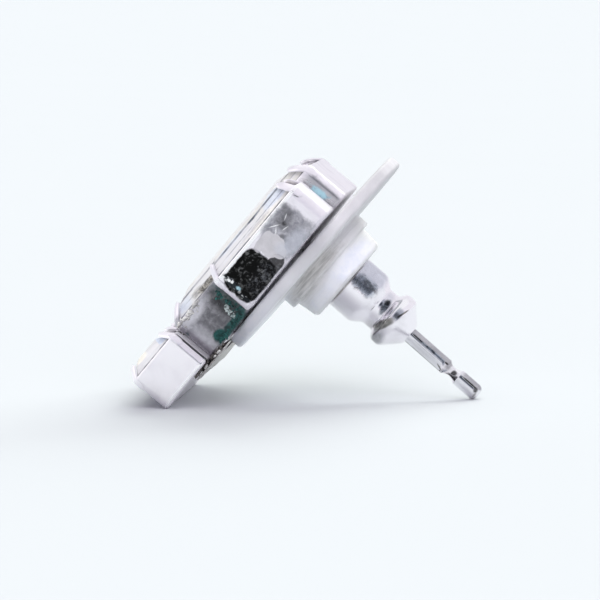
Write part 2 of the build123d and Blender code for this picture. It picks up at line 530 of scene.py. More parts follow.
@dataclass(frozen=True)
class PlatedMetal:
    """Bright plating over thin sheet, with smudges, fine scratches, stains and painted light."""

    name: str
    tint: Colour = (0.93, 0.89, 0.94)
    dull: Colour = (0.72, 0.70, 0.74)
    roughness: float = 0.28
    smudge: float = 0.12          # roughness that smudges add
    ripple: float = 0.006         # height of the sheet's ripples
    patches: tuple[Patch, ...] = ()

    def material(self, laid: Matrix) -> bpy.types.Material:
        """Builds the material.

        Args:
            laid: Matrix that lays its pieces down.

        Returns:
            The plated metal with its stains and painted light.
        """
        recipe = Recipe(self.name, laid)
        smear = recipe.fade(recipe.cloud(0.9, 4.0, 0.6, 0.8), 0.48, 0.72)
        flecks = recipe.fade(recipe.grains(2.2, 3.0), 0.13, 0.05)
        colour = recipe.mix(recipe.maths("MULTIPLY", smear, 0.40), self.tint, self.dull)
        colour = recipe.mix(recipe.maths("MULTIPLY", flecks, 0.25), colour, self.dull)
        rough = recipe.between(smear, self.roughness, self.roughness + self.smudge)
        ripples = recipe.maths("MULTIPLY", recipe.cloud(0.8, 2.0, 0.5), self.ripple)
        scratches = recipe.fade(recipe.cloud(9.0, 2.0, 0.6, 0.0, (1.0, 0.12, 1.0)), 0.62, 0.72, 0.0, -0.0012)
        surface = Surface(recipe, colour, 1.0, rough, recipe.maths("ADD", ripples, scratches))
        surface.stain(self.patches)
        return surface.finish()


@dataclass(frozen=True)
class PolishedMetal:
    """Turned and polished metal with fine lines round its axis, and painted reflections and shade."""

    name: str
    tint: Colour = (0.92, 0.89, 0.93)
    roughness: float = 0.10
    haze: float = 0.12
    lines: float = 0.0006          # height of the turning lines
    wear: float = 0.008            # height of the waves that wear leaves
    axis_stretch: Point = (0.25, 0.25, 14.0)
    patches: tuple[Patch, ...] = ()

    def material(self, laid: Matrix) -> bpy.types.Material:
        """Builds the material.

        Args:
            laid: Matrix that lays its pieces down.

        Returns:
            The polished metal.
        """
        recipe = Recipe(self.name, laid)
        smear = recipe.fade(recipe.cloud(0.8, 4.0, 0.6, 0.6), 0.46, 0.74)
        dull = tuple(0.78 * channel for channel in self.tint)
        colour = recipe.mix(recipe.maths("MULTIPLY", smear, 0.5), self.tint, dull)
        rough = recipe.between(smear, self.roughness, self.roughness + self.haze)
        turning = recipe.maths("MULTIPLY", recipe.cloud(1.0, 2.0, 0.6, 0.0, self.axis_stretch), self.lines)
        waves = recipe.maths("MULTIPLY", recipe.cloud(1.3, 3.0, 0.55), self.wear)
        surface = Surface(recipe, colour, 1.0, rough, recipe.maths("ADD", turning, waves))
        surface.stain(self.patches)
        return surface.finish()


@dataclass(frozen=True)
class FacetLine:
    """Dark line along a facet's edge, at one height of the stone; on the crown it is a painted dark
    reflection.
    """

    height: float
    half_width: float
    strength: float
    broken: float = 0.5            # share of its length that is fainter


@dataclass(frozen=True)
class CutGlass:
    """Faceted glass, with reflections of its foil painted on as pale streaks and with painted dark facet
    lines.
    """

    name: str
    lines: tuple[FacetLine, ...] = ()
    patches: tuple[Patch, ...] = ()
    white: Colour = (0.99, 0.99, 1.0)
    cream: Colour = (0.98, 0.96, 0.90)
    grey: Colour = (0.76, 0.77, 0.81)
    line_colour: Colour = (0.08, 0.09, 0.12)
    index: float = 1.50
    clearness: float = 0.26

    def line(self, recipe: Recipe, height: Socket, line: FacetLine, shift: float) -> Socket:
        """Mask of one facet line.

        Args:
            recipe: The glass so far.
            height: Height over the cups' backs.
            line: The line.
            shift: Slides the noise that breaks it.

        Returns:
            How strong the line is.
        """
        away = recipe.maths("ABSOLUTE", recipe.maths("SUBTRACT", height, line.height))
        mask = recipe.fade(away, line.half_width, 0.4 * line.half_width)
        breaks = recipe.fade(recipe.cloud(0.9, 3.0, 0.6, shift=shift), 0.42, 0.56, 1.0 - line.broken, 1.0)
        return recipe.maths("MULTIPLY", recipe.maths("MULTIPLY", mask, breaks), line.strength)

    def material(self, laid: Matrix) -> bpy.types.Material:
        """Builds the material.

        Args:
            laid: Matrix that lays its pieces down.

        Returns:
            The glass.
        """
        recipe = Recipe(self.name, laid)
        along = (1.0, 0.22, 2.6)
        # The cream and grey streaks below are painted reflections.
        warm = recipe.fade(recipe.cloud(0.9, 3.0, 0.5, 0.2, along, 3.0), 0.44, 0.62)
        dim = recipe.fade(recipe.cloud(1.5, 4.0, 0.6, 0.3, along, 7.0), 0.54, 0.70)
        colour = recipe.mix(warm, self.white, self.cream)
        colour = recipe.mix(recipe.maths("MULTIPLY", dim, 0.6), colour, self.grey)
        dust = recipe.fade(recipe.cloud(2.4, 5.0, 0.7, 0.5), 0.60, 0.80, 0.02, 0.12)
        level = recipe.maths("MULTIPLY", recipe.cloud(0.9, 2.0, 0.5), 0.002)
        surface = Surface(recipe, colour, 0.0, dust, level, self.clearness)
        surface.stain(self.patches)
        split = recipe.node("ShaderNodeSeparateXYZ")
        recipe.feed(split.inputs[0], recipe.place)
        for number, line in enumerate(self.lines):
            mask = self.line(recipe, split.outputs[2], line, 2.1 * number)
            surface.colour = recipe.mix(mask, surface.colour, self.line_colour)
            surface.clearness = recipe.between(mask, surface.clearness, 0.0)
        recipe.shade(ior=self.index)
        return surface.finish()


@dataclass(frozen=True)
class MirrorFoil:
    """Silver foil on the back of a stone, darkened here and there."""

    name: str
    tint: Colour = (0.97, 0.97, 0.985)
    aged: Colour = (0.34, 0.30, 0.26)

    def material(self, laid: Matrix) -> bpy.types.Material:
        """Builds the material.

        Args:
            laid: Matrix that lays its pieces down.

        Returns:
            The foil.
        """
        recipe = Recipe(self.name, laid)
        age = recipe.fade(recipe.cloud(0.7, 4.0, 0.6, 0.5), 0.58, 0.70, 0.0, 0.70)
        colour = recipe.mix(age, self.tint, self.aged)
        rough = recipe.between(age, 0.06, 0.30)
        recipe.shade(base_color=colour, metallic=1.0, roughness=rough)
        return recipe.material


@dataclass(frozen=True)
class FrostedPlastic:
    """Clear moulded plastic, dulled by wear, with streaks that run round it, and painted shade."""

    name: str
    clear: Colour = (0.975, 0.975, 0.99)
    milky: Colour = (0.985, 0.98, 0.995)
    aged: Colour = (0.78, 0.775, 0.79)
    aged_from: float = 0.5         # heights between which it is streaky
    aged_to: float = 2.5
    patches: tuple[Patch, ...] = ()

    def material(self, laid: Matrix) -> bpy.types.Material:
        """Builds the material.

        Args:
            laid: Matrix that lays its pieces down.

        Returns:
            The plastic.
        """
        recipe = Recipe(self.name, laid)
        split = recipe.node("ShaderNodeSeparateXYZ")
        recipe.feed(split.inputs[0], recipe.place)
        along = split.outputs[2]
        hub = recipe.maths("MULTIPLY", recipe.fade(along, self.aged_from, self.aged_from + 0.4),
                           recipe.fade(along, self.aged_to, self.aged_to - 0.7))
        streaks = recipe.fade(recipe.cloud(1.0, 4.0, 0.70, 0.2, (0.28, 0.28, 4.6)), 0.46, 0.64)
        veil = recipe.fade(recipe.cloud(0.5, 4.0, 0.6, 0.5, shift=4.0), 0.35, 0.70)
        colour = recipe.mix(veil, self.clear, self.milky)
        share = recipe.maths("MULTIPLY", streaks, recipe.between(hub, 0.12, 0.60))
        colour = recipe.mix(share, colour, self.aged)
        clearness = recipe.between(veil, 0.50, 0.22)
        rough = recipe.between(recipe.cloud(1.7, 4.0, 0.6), 0.22, 0.48)
        scuffs = recipe.maths("MULTIPLY", recipe.cloud(3.2, 5.0, 0.65, 0.3), 0.010)
        surface = Surface(recipe, colour, 0.0, rough, scuffs, clearness)
        surface.stain(self.patches)
        recipe.shade(ior=1.46)
        return surface.finish()


@dataclass(frozen=True)
class Crust:
    """Crumbly mineral or solder lumps in two colours."""

    name: str
    light: Colour
    dark: Colour
    roughness: float = 0.7
    metallic: float = 0.0
    clearness: float = 0.0

    def material(self, laid: Matrix) -> bpy.types.Material:
        """Builds the material.

        Args:
            laid: Matrix that lays its pieces down.

        Returns:
            The crust.
        """
        recipe = Recipe(self.name, laid)
        grain = recipe.fade(recipe.cloud(3.0, 5.0, 0.7, 0.5), 0.38, 0.62)
        fine = recipe.maths("MULTIPLY", recipe.cloud(16.0, 3.0, 0.7), 0.012)
        recipe.shade(base_color=recipe.mix(grain, self.dark, self.light), roughness=self.roughness,
                     metallic=self.metallic, transmission_weight=self.clearness, normal=recipe.relief(fine))
        return recipe.material


class Bench:
    """Gathers the points and faces of one piece, in millimetres, and turns them into an object."""

    def __init__(self) -> None:
        """Starts an empty piece."""
        self.points: list[Point] = []
        self.faces: list[tuple[int, ...]] = []
        self.faces_of: list[int] = []

    def ring(self, points: Sequence[Point]) -> list[int]:
        """Adds points.

        Args:
            points: The points, in order.

        Returns:
            Their numbers.
        """
        first = len(self.points)
        self.points.extend(points)
        return list(range(first, len(self.points)))

    def face(self, corners: Sequence[int], finish: int = 0) -> None:
        """Adds one face, with the number of its finish."""
        self.faces.append(tuple(corners))
        self.faces_of.append(finish)

    def bridge(self, lower: Sequence[int], upper: Sequence[int], finish: int = 0) -> None:
        """Joins two closed rings with as many points by a band of faces.

        Args:
            lower: Ring seen first, anticlockwise from outside the top.
            upper: Ring above it.
            finish: Number of the band's finish.
        """
        count = len(lower)
        for i in range(count):
            j = (i + 1) % count
            self.face((lower[i], lower[j], upper[j], upper[i]), finish)

    def loft(self, rings: Sequence[Sequence[Point]], closed: bool = False) -> None:
        """Joins rings in turn, and caps both ends or joins the last to the first.

        Args:
            rings: Rings of points with as many points each.
            closed: Whether the last ring joins the first.
        """
        numbers = [self.ring(ring) for ring in rings]
        for lower, upper in zip(numbers, numbers[1:]):
            self.bridge(lower, upper)
        if closed:
            self.bridge(numbers[-1], numbers[0])
        else:
            self.face(list(reversed(numbers[0])))
            self.face(numbers[-1])

    def add(self, points: Sequence[Vector], faces: Sequence[Sequence[int]]) -> None:
        """Adds a ready shape.

        Args:
            points: Its points.
            faces: Its faces, numbered from its own first point.
        """
        first = len(self.points)
        self.points.extend(tuple(point) for point in points)
        for corners in faces:
            self.face([first + corner for corner in corners])

    def build(self, name: str, laid: Matrix, finishes: Sequence[bpy.types.Material],
              smooth: bool = True) -> bpy.types.Object:
        """Turns what was gathered into an object whose own axes are the part's.

        Args:
            name: Name of the piece.
            laid: Matrix that lays it down.
            finishes: Its materials, by number.
            smooth: Whether its faces are shaded smooth.

        Returns:
            The piece, in place.
        """
        mesh = bpy.data.meshes.new(name)
        mesh.from_pydata([laid @ (Vector(point) * MM) for point in self.points], [], self.faces)
        mesh.validate()
        for polygon, finish in zip(mesh.polygons, self.faces_of):
            polygon.use_smooth = smooth
            polygon.material_index = finish
        for material in finishes:
            mesh.materials.append(material)
        piece = bpy.data.objects.new(name, mesh)
        bpy.context.scene.collection.objects.link(piece)
        return piece


def dress(piece: bpy.types.Object, body: Body,
          stands_for: Sequence[str] = ()) -> None:
    """Hands a finished piece to its body and reports it.

    Args:
        piece: The piece, in place.
        body: The part that it moves with.
        stands_for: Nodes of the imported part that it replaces.
    """
    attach(piece, body.value)
    if stands_for:
        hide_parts(*stands_for)
    LOG.info("%s: %d faces on %s", piece.name, len(piece.data.polygons), body.value)


def spread(low: float, high: float, count: int) -> list[float]:
    """Evenly spaced numbers, both ends included."""
    return [low + (high - low) * i / (count - 1) for i in range(count)]


def quarter(radius: float, steps: int, across_first: bool) -> list[tuple[float, float]]:
    """Steps of a quarter round that turns from one side of a corner to the other.

    Args:
        radius: Its radius.
        steps: How many pieces it is cut into.
        across_first: Whether it leaves along the first number or along the second.

    Returns:
        Distances from both sides, each from the radius to 0 or from 0 to the radius.
    """
    turns = [math.pi / 2 * i / steps for i in range(steps + 1)]
    if across_first:
        return [(radius * (1 - math.sin(turn)), radius * (1 - math.cos(turn))) for turn in turns]
    return [(radius * (1 - math.cos(turn)), radius * (1 - math.sin(turn))) for turn in turns]


@dataclass(frozen=True)
class Sheet:
    """Sizes of the thin metal that all cups are pressed from."""

    wall: float = 0.25
    back: float = 0.30
    corner_round: float = 0.30
    back_round: float = 0.14
    rim_bevel: float = 0.09
    seat_gap: float = 0.03
    girdle_drop: float = 0.06
    girdle: float = 0.16
    culet: float = 0.30
    lower_step_in: float = 0.42
    lower_step_down: float = 0.52
    prong_gap: float = 0.03
    prong_sheet: float = 0.17
    prong_proud: float = 0.04
    prong_root: float = 0.60


SHEET = Sheet()


@dataclass(frozen=True)
class CupSize:
    """Outer sizes of one cup and the steps of its stone's crown."""

    width: float
    length: float
    height: float
    cut: float
    prong_width: float
    crown_in: tuple[float, ...]
    crown_up: tuple[float, ...]

    @staticmethod
    def inner_cut(cut: float, inward: float) -> float:
        """Corner cut of an outline that lies inward by the same distance all round."""
        return cut - (2 - math.sqrt(2)) * inward

    def stone_levels(self) -> list[tuple[float, float, float, float]]:
        """Levels of the stone from its point up.

        Returns:
            Half width, half length, corner cut and height of each level.
        """
        room = SHEET.wall + SHEET.seat_gap
        half_width = self.width / 2 - room
        half_length = self.length / 2 - room
        cut = self.inner_cut(self.cut, room)
        girdle_top = self.height - SHEET.girdle_drop
        girdle_foot = girdle_top - SHEET.girdle
        point = SHEET.back + SHEET.seat_gap
        step_height = girdle_foot - SHEET.lower_step_down * (girdle_foot - point)
        heights = [point, step_height, girdle_foot, girdle_top]
        inward = [half_width - SHEET.culet / 2, SHEET.lower_step_in * half_width, 0.0, 0.0]
        for step_in, step_up in zip(self.crown_in, self.crown_up):
            inward.append(inward[-1] + step_in)
            heights.append(heights[-1] + step_up)
        levels = []
        for step, height in zip(inward, heights):
            share = (half_width - step) / half_width
            levels.append((half_width - step, half_length - step, cut * share, height))
        return levels

    def octagon(self, half_width: float, half_length: float, cut: float) -> list[tuple[float, float]]:
        """Corners of a rectangle with cut corners, anticlockwise."""
        x = half_width
        y = half_length
        return [(x, y - cut), (x - cut, y), (cut - x, y), (-x, y - cut),
                (-x, cut - y), (cut - x, -y), (x - cut, -y), (x, cut - y)]

    def wall_line(self, inset: float, spacing: float = 0.26) -> list[tuple[float, float]]:
        """Outline of the wall with rounded corners.

        Args:
            inset: How far it lies inward of the cup's outside.
            spacing: Distance between its points along the straight sides, at the outside.

        Returns:
            Points anticlockwise, as many for every inset.
        """
        cut = max(self.inner_cut(self.cut, inset), 0.02)
        corners = self.octagon(self.width / 2 - inset, self.length / 2 - inset, cut)
        outer = self.octagon(self.width / 2, self.length / 2, self.cut)
        reach = max(SHEET.corner_round - inset, 0.02) * math.tan(math.pi / 8)
        reach = min(reach, 0.60 * cut)
        line: list[tuple[float, float]] = []
        for i in range(8):
            here, before, after = (Vector(corners[k % 8]) for k in (i, i - 1, i + 1))
            start = here + (before - here).normalized() * reach
            end = here + (after - here).normalized() * reach
            for share in spread(0.0, 1.0, 5):
                point = start.lerp(here, share).lerp(here.lerp(end, share), share)
                line.append((point.x, point.y))
            side = (Vector(outer[(i + 1) % 8]) - Vector(outer[i])).length
            pieces = max(2, round(side / spacing))
            goal = after + (here - after).normalized() * reach
            for share in spread(0.0, 1.0, pieces + 1)[1:-1]:
                point = end.lerp(goal, share)
                line.append((point.x, point.y))
        return line


@dataclass(frozen=True)
class Dent:
    """A small pit in a cup's wall."""

    middle: Point
    radius: float
    depth: float


@dataclass(frozen=True)
class Cup:
    """A pressed cup in its place on the head, with its prongs and its stone."""

    name: str
    node: str
    size: CupSize
    middle: tuple[float, float]
    finish: PlatedMetal
    seed: int
    buckle: float = 0.014          # how far the thin walls are pushed in and out
    dents: tuple[Dent, ...] = ()

    def pushed(self, point: Vector) -> float:
        """How far the wall lies inward of its drawing at a point.

        Args:
            point: Point of the head.

        Returns:
            Distance in millimetres, never outward.
        """
        wave = noise.noise(point * 0.7 + Vector((0, 0, self.seed)))
        fine = noise.noise(point * 2.3 + Vector((self.seed, 0, 0)))
        inward = self.buckle * (0.5 + 0.5 * wave + 0.25 * fine)
        for dent in self.dents:
            away = (point - Vector(dent.middle)).length / dent.radius
            if away < 1:
                inward += dent.depth * (0.5 + 0.5 * math.cos(math.pi * away))
        return max(inward, 0.0)

    def section(self) -> list[tuple[float, float, float]]:
        """Section of the sheet from the middle of the back, round the outside, to its inner floor.

        Returns:
            Inset, height and how much of the wall's buckling each ring takes.
        """
        size = self.size
        rows: list[tuple[float, float, float]] = []
        for inset, height in quarter(SHEET.back_round, 5, True):
            rows.append((inset, height, 0.4))
        top = size.height - SHEET.rim_bevel
        rows.append((0.0, SHEET.back_round + 0.04, 0.8))
        for height in spread(SHEET.back_round + 0.16, top - 0.14, 9):
            rows.append((0.0, height, 1.0))
        rows.append((0.0, top - 0.03, 0.8))
        for inset, down in quarter(SHEET.rim_bevel, 4, False):
            rows.append((inset, size.height - down, 0.5))
        rows.append((SHEET.wall - 0.05, size.height, 0.0))
        rows.append((SHEET.wall - 0.015, size.height - 0.015, 0.0))
        rows.append((SHEET.wall, size.height - 0.05, 0.0))
        rows.append((SHEET.wall, size.height - 0.4, 0.0))
        rows.append((SHEET.wall, SHEET.back + 0.03, 0.0))
        rows.append((SHEET.wall + 0.03, SHEET.back, 0.0))
        return rows

    def shell(self, bench: Bench) -> None:
        """Adds the cup's open shell.

        Args:
            bench: Where the faces go.
        """
        middle = Vector((*self.middle, 0.0))
        rings = []
        foot = self.size.wall_line(SHEET.back_round)
        for share in (0.06, 0.22, 0.40, 0.58, 0.74, 0.86, 0.95):
            ring = []
            for x, y in foot:
                point = middle + Vector((x * share, y * share, 0.0))
                point.z += 0.8 * self.pushed(point)
                ring.append(point)
            rings.append(ring)
        for inset, height, share in self.section():
            line = self.size.wall_line(inset)
            inner = self.size.wall_line(inset + 0.1)
            ring = []
            for (x, y), (inner_x, inner_y) in zip(line, inner):
                point = middle + Vector((x, y, height))
                push = self.pushed(point) * share
                point.x += (inner_x - x) * push / 0.1
                point.y += (inner_y - y) * push / 0.1
                ring.append(point)
            rings.append(ring)
        bench.loft([[tuple(point) for point in ring] for ring in reversed(rings)])

    def prong_path(self) -> list[tuple[float, float]]:
        """Middle line of the prong's sheet over a cut corner.

        Returns:
            Distance inward from the corner's face, and height, from its root to its tip.
        """
        size = self.size
        across = size.width / 2 + size.length / 2 - size.cut
        crown = []
        for half_width, half_length, cut, height in size.stone_levels()[3:-1]:
            crown.append(((across - half_width - half_length + cut) / math.sqrt(2), height))
        lift = SHEET.prong_gap + SHEET.prong_sheet / 2
        over = [(inward - lift, height + lift) for inward, height in crown]
        outside = SHEET.prong_sheet / 2 - SHEET.prong_proud
        shoulder = (outside + 0.02, over[0][1] - 0.10)
        return [(outside, size.height - SHEET.prong_root), (outside, size.height - 0.22), shoulder, *over]

    def prong(self, bench: Bench, corner: tuple[int, int], chance: random.Random) -> None:
        """Adds the prong that is folded over one corner of the stone.

        Args:
            bench: Where the faces go.
            corner: Signs of the corner's x and y.
            chance: Source of the small differences between prongs.
        """
        size = self.size
        corner_x = self.middle[0] + corner[0] * (size.width - size.cut) / 2
        corner_y = self.middle[1] + corner[1] * (size.length - size.cut) / 2
        inward = Vector((-corner[0], -corner[1], 0)).normalized()
        aside = Vector((0, 0, 1)).cross(inward)
        path = [Vector(point) for point in self.prong_path()]
        path[-1] = path[-2].lerp(path[-1], chance.uniform(0.82, 1.0))
        stations = self.rounded(path)
        slide = chance.uniform(-0.03, 0.03)
        rings = []
        half_sheet = SHEET.prong_sheet / 2
        half_width = size.prong_width / 2 * chance.uniform(0.92, 1.0)
        length = sum((b - a).length for a, b in zip(stations, stations[1:]))
        gone = 0.0
        for i, station in enumerate(stations):
            ahead = stations[min(i + 1, len(stations) - 1)] - stations[max(i - 1, 0)]
            if i > 0:
                gone += (station - stations[i - 1]).length
            left = length - gone
            tip = math.sqrt(max(1 - max(1 - left / half_width, 0.0) ** 2, 0.02))
            root = min(1.0, 0.55 + gone / 0.3)
            normal = Vector((-ahead.y, ahead.x)).normalized()
            ring = []
            for turn in range(16):
                angle = 2 * math.pi * turn / 16
                wide = math.copysign(abs(math.cos(angle)) ** 0.6, math.cos(angle)) * half_width * tip * root
                thick = math.copysign(abs(math.sin(angle)) ** 0.7, math.sin(angle)) * half_sheet
                thick *= 1.0 - 0.25 * (wide / half_width) ** 2
                flat = station + normal * thick
                spot = Vector((corner_x, corner_y, 0)) + inward * flat.x + aside * (wide + slide)
                ring.append((spot.x, spot.y, flat.y))
            rings.append(ring)
        bench.loft(rings)

    @staticmethod
    def rounded(path: Sequence[Vector]) -> list[Vector]:
        """A path with its corners cut round and more points.

        Args:
            path: Corners of the path.

        Returns:
            Points along it.
        """
        points = list(path)
        for _ in range(3):
            finer = [points[0]]
            for start, end in zip(points, points[1:]):
                finer.extend((start.lerp(end, 0.25), start.lerp(end, 0.75)))
            finer.append(points[-1])
            points = finer
        return points

    def build_metal(self, lie: Lie, finish: bpy.types.Material) -> None:
        """Builds the cup and its four prongs as one piece.

        Args:
            lie: How the earring lies.
            finish: Its plated metal.
        """
        bench = Bench()
        self.shell(bench)
        chance = random.Random(self.seed)
        for corner in ((1, 1), (-1, 1), (-1, -1), (1, -1)):
            self.prong(bench, corner, chance)
        piece = bench.build(self.name, lie.head_matrix(), [finish])
        dress(piece, Body.HEAD, ["setting"])

    def build_stone(self, lie: Lie, finishes: Sequence[bpy.types.Material]) -> None:
        """Builds the stone with flat facets: a foiled back, a girdle, a stepped crown and a table.

        Args:
            lie: How the earring lies.
            finishes: Glass, and foil for the faces below the girdle.
        """
        bench = Bench()
        rings = []
        for half_width, half_length, cut, height in self.size.stone_levels():
            corners = self.size.octagon(half_width, half_length, cut)
            rings.append(bench.ring([(self.middle[0] + x, self.middle[1] + y, height) for x, y in corners]))
        bench.face(list(reversed(rings[0])), 1)
        for level, (lower, upper) in enumerate(zip(rings, rings[1:])):
            bench.bridge(lower, upper, 1 if level < 2 else 0)
        bench.face(rings[-1])
        piece = bench.build(f"cut_{self.node}", lie.head_matrix(), finishes, smooth=False)
        dress(piece, Body.HEAD, [self.node])


@dataclass(frozen=True)
class Head:
    """The seven cups with their stones, and the crusts in their joints."""

    centre: CupSize = CupSize(8.2, 10.25, 2.30, 0.30, 0.50, (0.30, 0.36, 0.80), (0.36, 0.25, 0.24))
    side: CupSize = CupSize(3.86, 6.08, 2.08, 0.28, 0.48, (0.16, 0.17, 0.21), (0.36, 0.24, 0.18))
    row: CupSize = CupSize(3.04, 3.10, 2.08, 0.24, 0.42, (0.17, 0.20, 0.26), (0.26, 0.20, 0.14))
    row_count: int = 4
    lap: float = 0.06
    centre_top: float = 3.45
    side_top: float = 2.66

    def side_place(self) -> tuple[float, float]:
        """Middle of the near side cup."""
        return ((self.centre.width + self.side.width) / 2 - self.lap, self.side_top - self.side.length / 2)

    def row_y(self) -> float:
        """Middle of the row, up the head."""
        return self.centre_top - self.centre.length + self.lap - self.row.length / 2

    def near_wall(self, middle: float, size: CupSize) -> float:
        """Where the outer wall of a cup on the near side stands."""
        return middle + size.width / 2

    @staticmethod
    def facet_lines(size: CupSize) -> tuple[FacetLine, ...]:
        """A dark line where a stone meets its rim, and painted dark lines along the edges of its crown.

        Args:
            size: The stone's cup.

        Returns:
            The lines, from the rim up.
        """
        heights = [level[3] for level in size.stone_levels()]
        return (
            FacetLine(size.height + 0.01, 0.07, 0.90, 0.60),
            FacetLine(heights[4], 0.035, 0.50, 0.8),
            FacetLine(heights[5] + 0.02, 0.060, 0.90, 0.4),
        )

    def glass(self) -> dict[CupSize, CutGlass]:
        """The glass of each size of stone, with reflections painted on the near ones.

        Returns:
            Glass by cup.
        """
        side_x = self.side_place()[0] + self.side.width / 2 - 0.4
        row_x = self.near_wall(self.row_x(self.row_count - 1), self.row) - 0.5
        # Painted sky and cream reflections, a painted dark line and painted grey on the side stone.
        side = (
            Patch(Stain.SKY, (side_x, 1.62, 2.55), (0.5, 0.80, 0.32), 3.0, 0.25, 0.25, 0.75),
            Patch(Stain.SKY, (side_x, -1.40, 2.66), (0.5, 0.90, 0.10), 3.0, 0.25, 0.40, 0.60),
            Patch(Stain.BLUED, (side_x, 0.10, 2.62), (0.5, 0.50, 0.045), 3.0, 0.20, 0.30, 0.9),
            Patch(Stain.CREAM, (side_x, 0.40, 2.22), (0.5, 1.10, 0.10), 2.0, 0.20, 0.50, 0.7),
            Patch(Stain.SHADE, (side_x, -0.10, 2.26), (0.5, 0.90, 0.07), 2.0, 0.30, 0.60, 0.5),
        )
        centre_x = self.near_wall(0.0, self.centre) - 0.4
        # Painted brown reflection of the side cup, and painted sky, on the centre stone.
        centre = (
            Patch(Stain.GRAIN, (centre_x, -4.05, 2.42), (0.6, 0.72, 0.17), 3.0, 0.16, 0.20, 0.95),
            Patch(Stain.GRAIN, (centre_x, -4.80, 2.55), (0.6, 0.40, 0.16), 3.0, 0.30, 0.40, 0.6),
            Patch(Stain.SKY, (centre_x, -5.70, 2.60), (0.8, 0.50, 0.25), 3.0, 0.30, 0.50, 0.7),
        )
        # Painted sky and cream reflections and a painted dark line on the row's near stone.
        row = (
            Patch(Stain.SKY, (row_x, -7.32, 2.50), (0.6, 0.34, 0.30), 5.0, 0.06, 0.10, 0.95),
            Patch(Stain.CREAM, (row_x, -8.80, 2.62), (0.6, 0.42, 0.22), 3.0, 0.10, 0.20, 0.95),
            Patch(Stain.BLUED, (row_x, -6.97, 2.49), (0.6, 0.035, 0.22), 3.0, 0.10, 0.20, 0.95),
        )
        return {
            self.centre: CutGlass("centre_glass", self.facet_lines(self.centre), centre),
            self.side: CutGlass("side_glass", self.facet_lines(self.side), side),
            self.row: CutGlass("row_glass", self.facet_lines(self.row)[:1], row),
        }

    def side_patches(self) -> tuple[Patch, ...]:
        """Stains and painted light on the near side cup's outer wall.

        Returns:
            Painted pale sheen and highlights on its edges, mottled tarnish with painted highlights, the black
            gritty patch painted as a dark reflection with painted glints, and solder smeared over both, also
            painted pale like a reflection.
        """
        x = self.near_wall(self.side_place()[0], self.side)
        return (
            Patch(Stain.BLOOM, (x - 1.9, 2.50, 1.00), (2.3, 0.32, 1.40), 6.0, 0.03, 0.15, 0.90),
            Patch(Stain.BLOOM, (x, -0.38, 0.03), (0.5, 3.20, 0.13), 8.0, 0.03, 0.20, 0.95),
            Patch(Stain.BRIGHT, (x, -0.40, 1.99), (0.5, 2.90, 0.10), 8.0, 0.02, 0.15, 0.95),
            Patch(Stain.TARNISH, (x, 0.72, 0.95), (0.5, 1.12, 1.02), 4.5, 0.10, 0.12, 0.90),
            Patch(Stain.HAZE, (x, 0.55, 0.35), (0.5, 0.75, 0.40), 2.0, 0.25, 0.45, 0.60),
            Patch(Stain.DEEP_TARNISH, (x, 1.02, 1.42), (0.5, 0.44, 0.44), 2.0, 0.34, 0.50, 0.60),
            Patch(Stain.DEEP_TARNISH, (x, 1.55, 1.60), (0.5, 0.22, 0.34), 2.0, 0.34, 0.50, 0.55),
            Patch(Stain.DEEP_TARNISH, (x, 0.38, 1.01), (0.5, 0.13, 0.13), 2.0, 0.40, 0.50, 0.80),
            Patch(Stain.SOOT, (x, 0.93, 1.31), (0.5, 0.09, 0.10), 2.0, 0.40, 0.60, 0.70),
            Patch(Stain.BRIGHT, (x, 1.22, 1.45), (0.5, 0.15, 0.022), 2.0, 0.20, 0.50, 0.6, 20.0),
            Patch(Stain.BRIGHT, (x, 0.52, 1.60), (0.5, 0.24, 0.030), 2.0, 0.30, 0.50, 0.7, -35.0),
            Patch(Stain.BRIGHT, (x, 0.40, 1.37), (0.5, 0.20, 0.030), 2.0, 0.30, 0.50, 0.7, 35.0),
            Patch(Stain.BRIGHT, (x, 0.78, 1.12), (0.5, 0.16, 0.025), 2.0, 0.30, 0.50, 0.5, -15.0),
            Patch(Stain.SOOT, (x, -2.02, 0.98), (0.5, 1.15, 0.93), 4.5, 0.06, 0.04),
            Patch(Stain.SOOT, (x, -0.95, 0.42), (0.5, 0.62, 0.36), 3.0, 0.10, 0.05, 0.9),
            Patch(Stain.GRIT, (x, -1.50, 0.40), (0.5, 1.10, 0.44), 3.0, 0.20, 0.40, 0.25),
            Patch(Stain.GLINTS, (x, -2.84, 1.40), (0.5, 0.16, 0.52), 2.0, 0.20, 0.30, 1.0, -6.0),
            Patch(Stain.BRIGHT, (x, -2.82, 1.60), (0.5, 0.07, 0.10), 2.0, 0.20, 0.30, 1.0),
            Patch(Stain.TURQUOISE, (x, -2.82, 1.00), (0.5, 0.08, 0.12), 2.0, 0.30, 0.40, 0.8),
            Patch(Stain.GLINTS, (x, -2.98, 0.45), (0.5, 0.10, 0.35), 2.0, 0.20, 0.30, 0.5),
            Patch(Stain.SOLDER, (x, -0.34, 1.50), (0.5, 0.60, 0.24), 3.0, 0.12, 0.05, 0.97),
            Patch(Stain.SOLDER, (x, -0.24, 1.06), (0.5, 0.58, 0.50), 2.4, 0.12, 0.05, 0.97),
            Patch(Stain.SOLDER, (x, -0.26, 0.66), (0.5, 0.32, 0.40), 2.4, 0.12, 0.05, 0.97, 16.0),
            Patch(Stain.HAZE, (x, -0.10, 0.62), (0.5, 0.30, 0.36), 2.0, 0.20, 0.50, 0.5),
            Patch(Stain.DEEP_TARNISH, (x, 2.30, 1.70), (0.4, 0.035, 0.13), 2.0, 0.30, 0.30, 0.75, 20.0),
        )

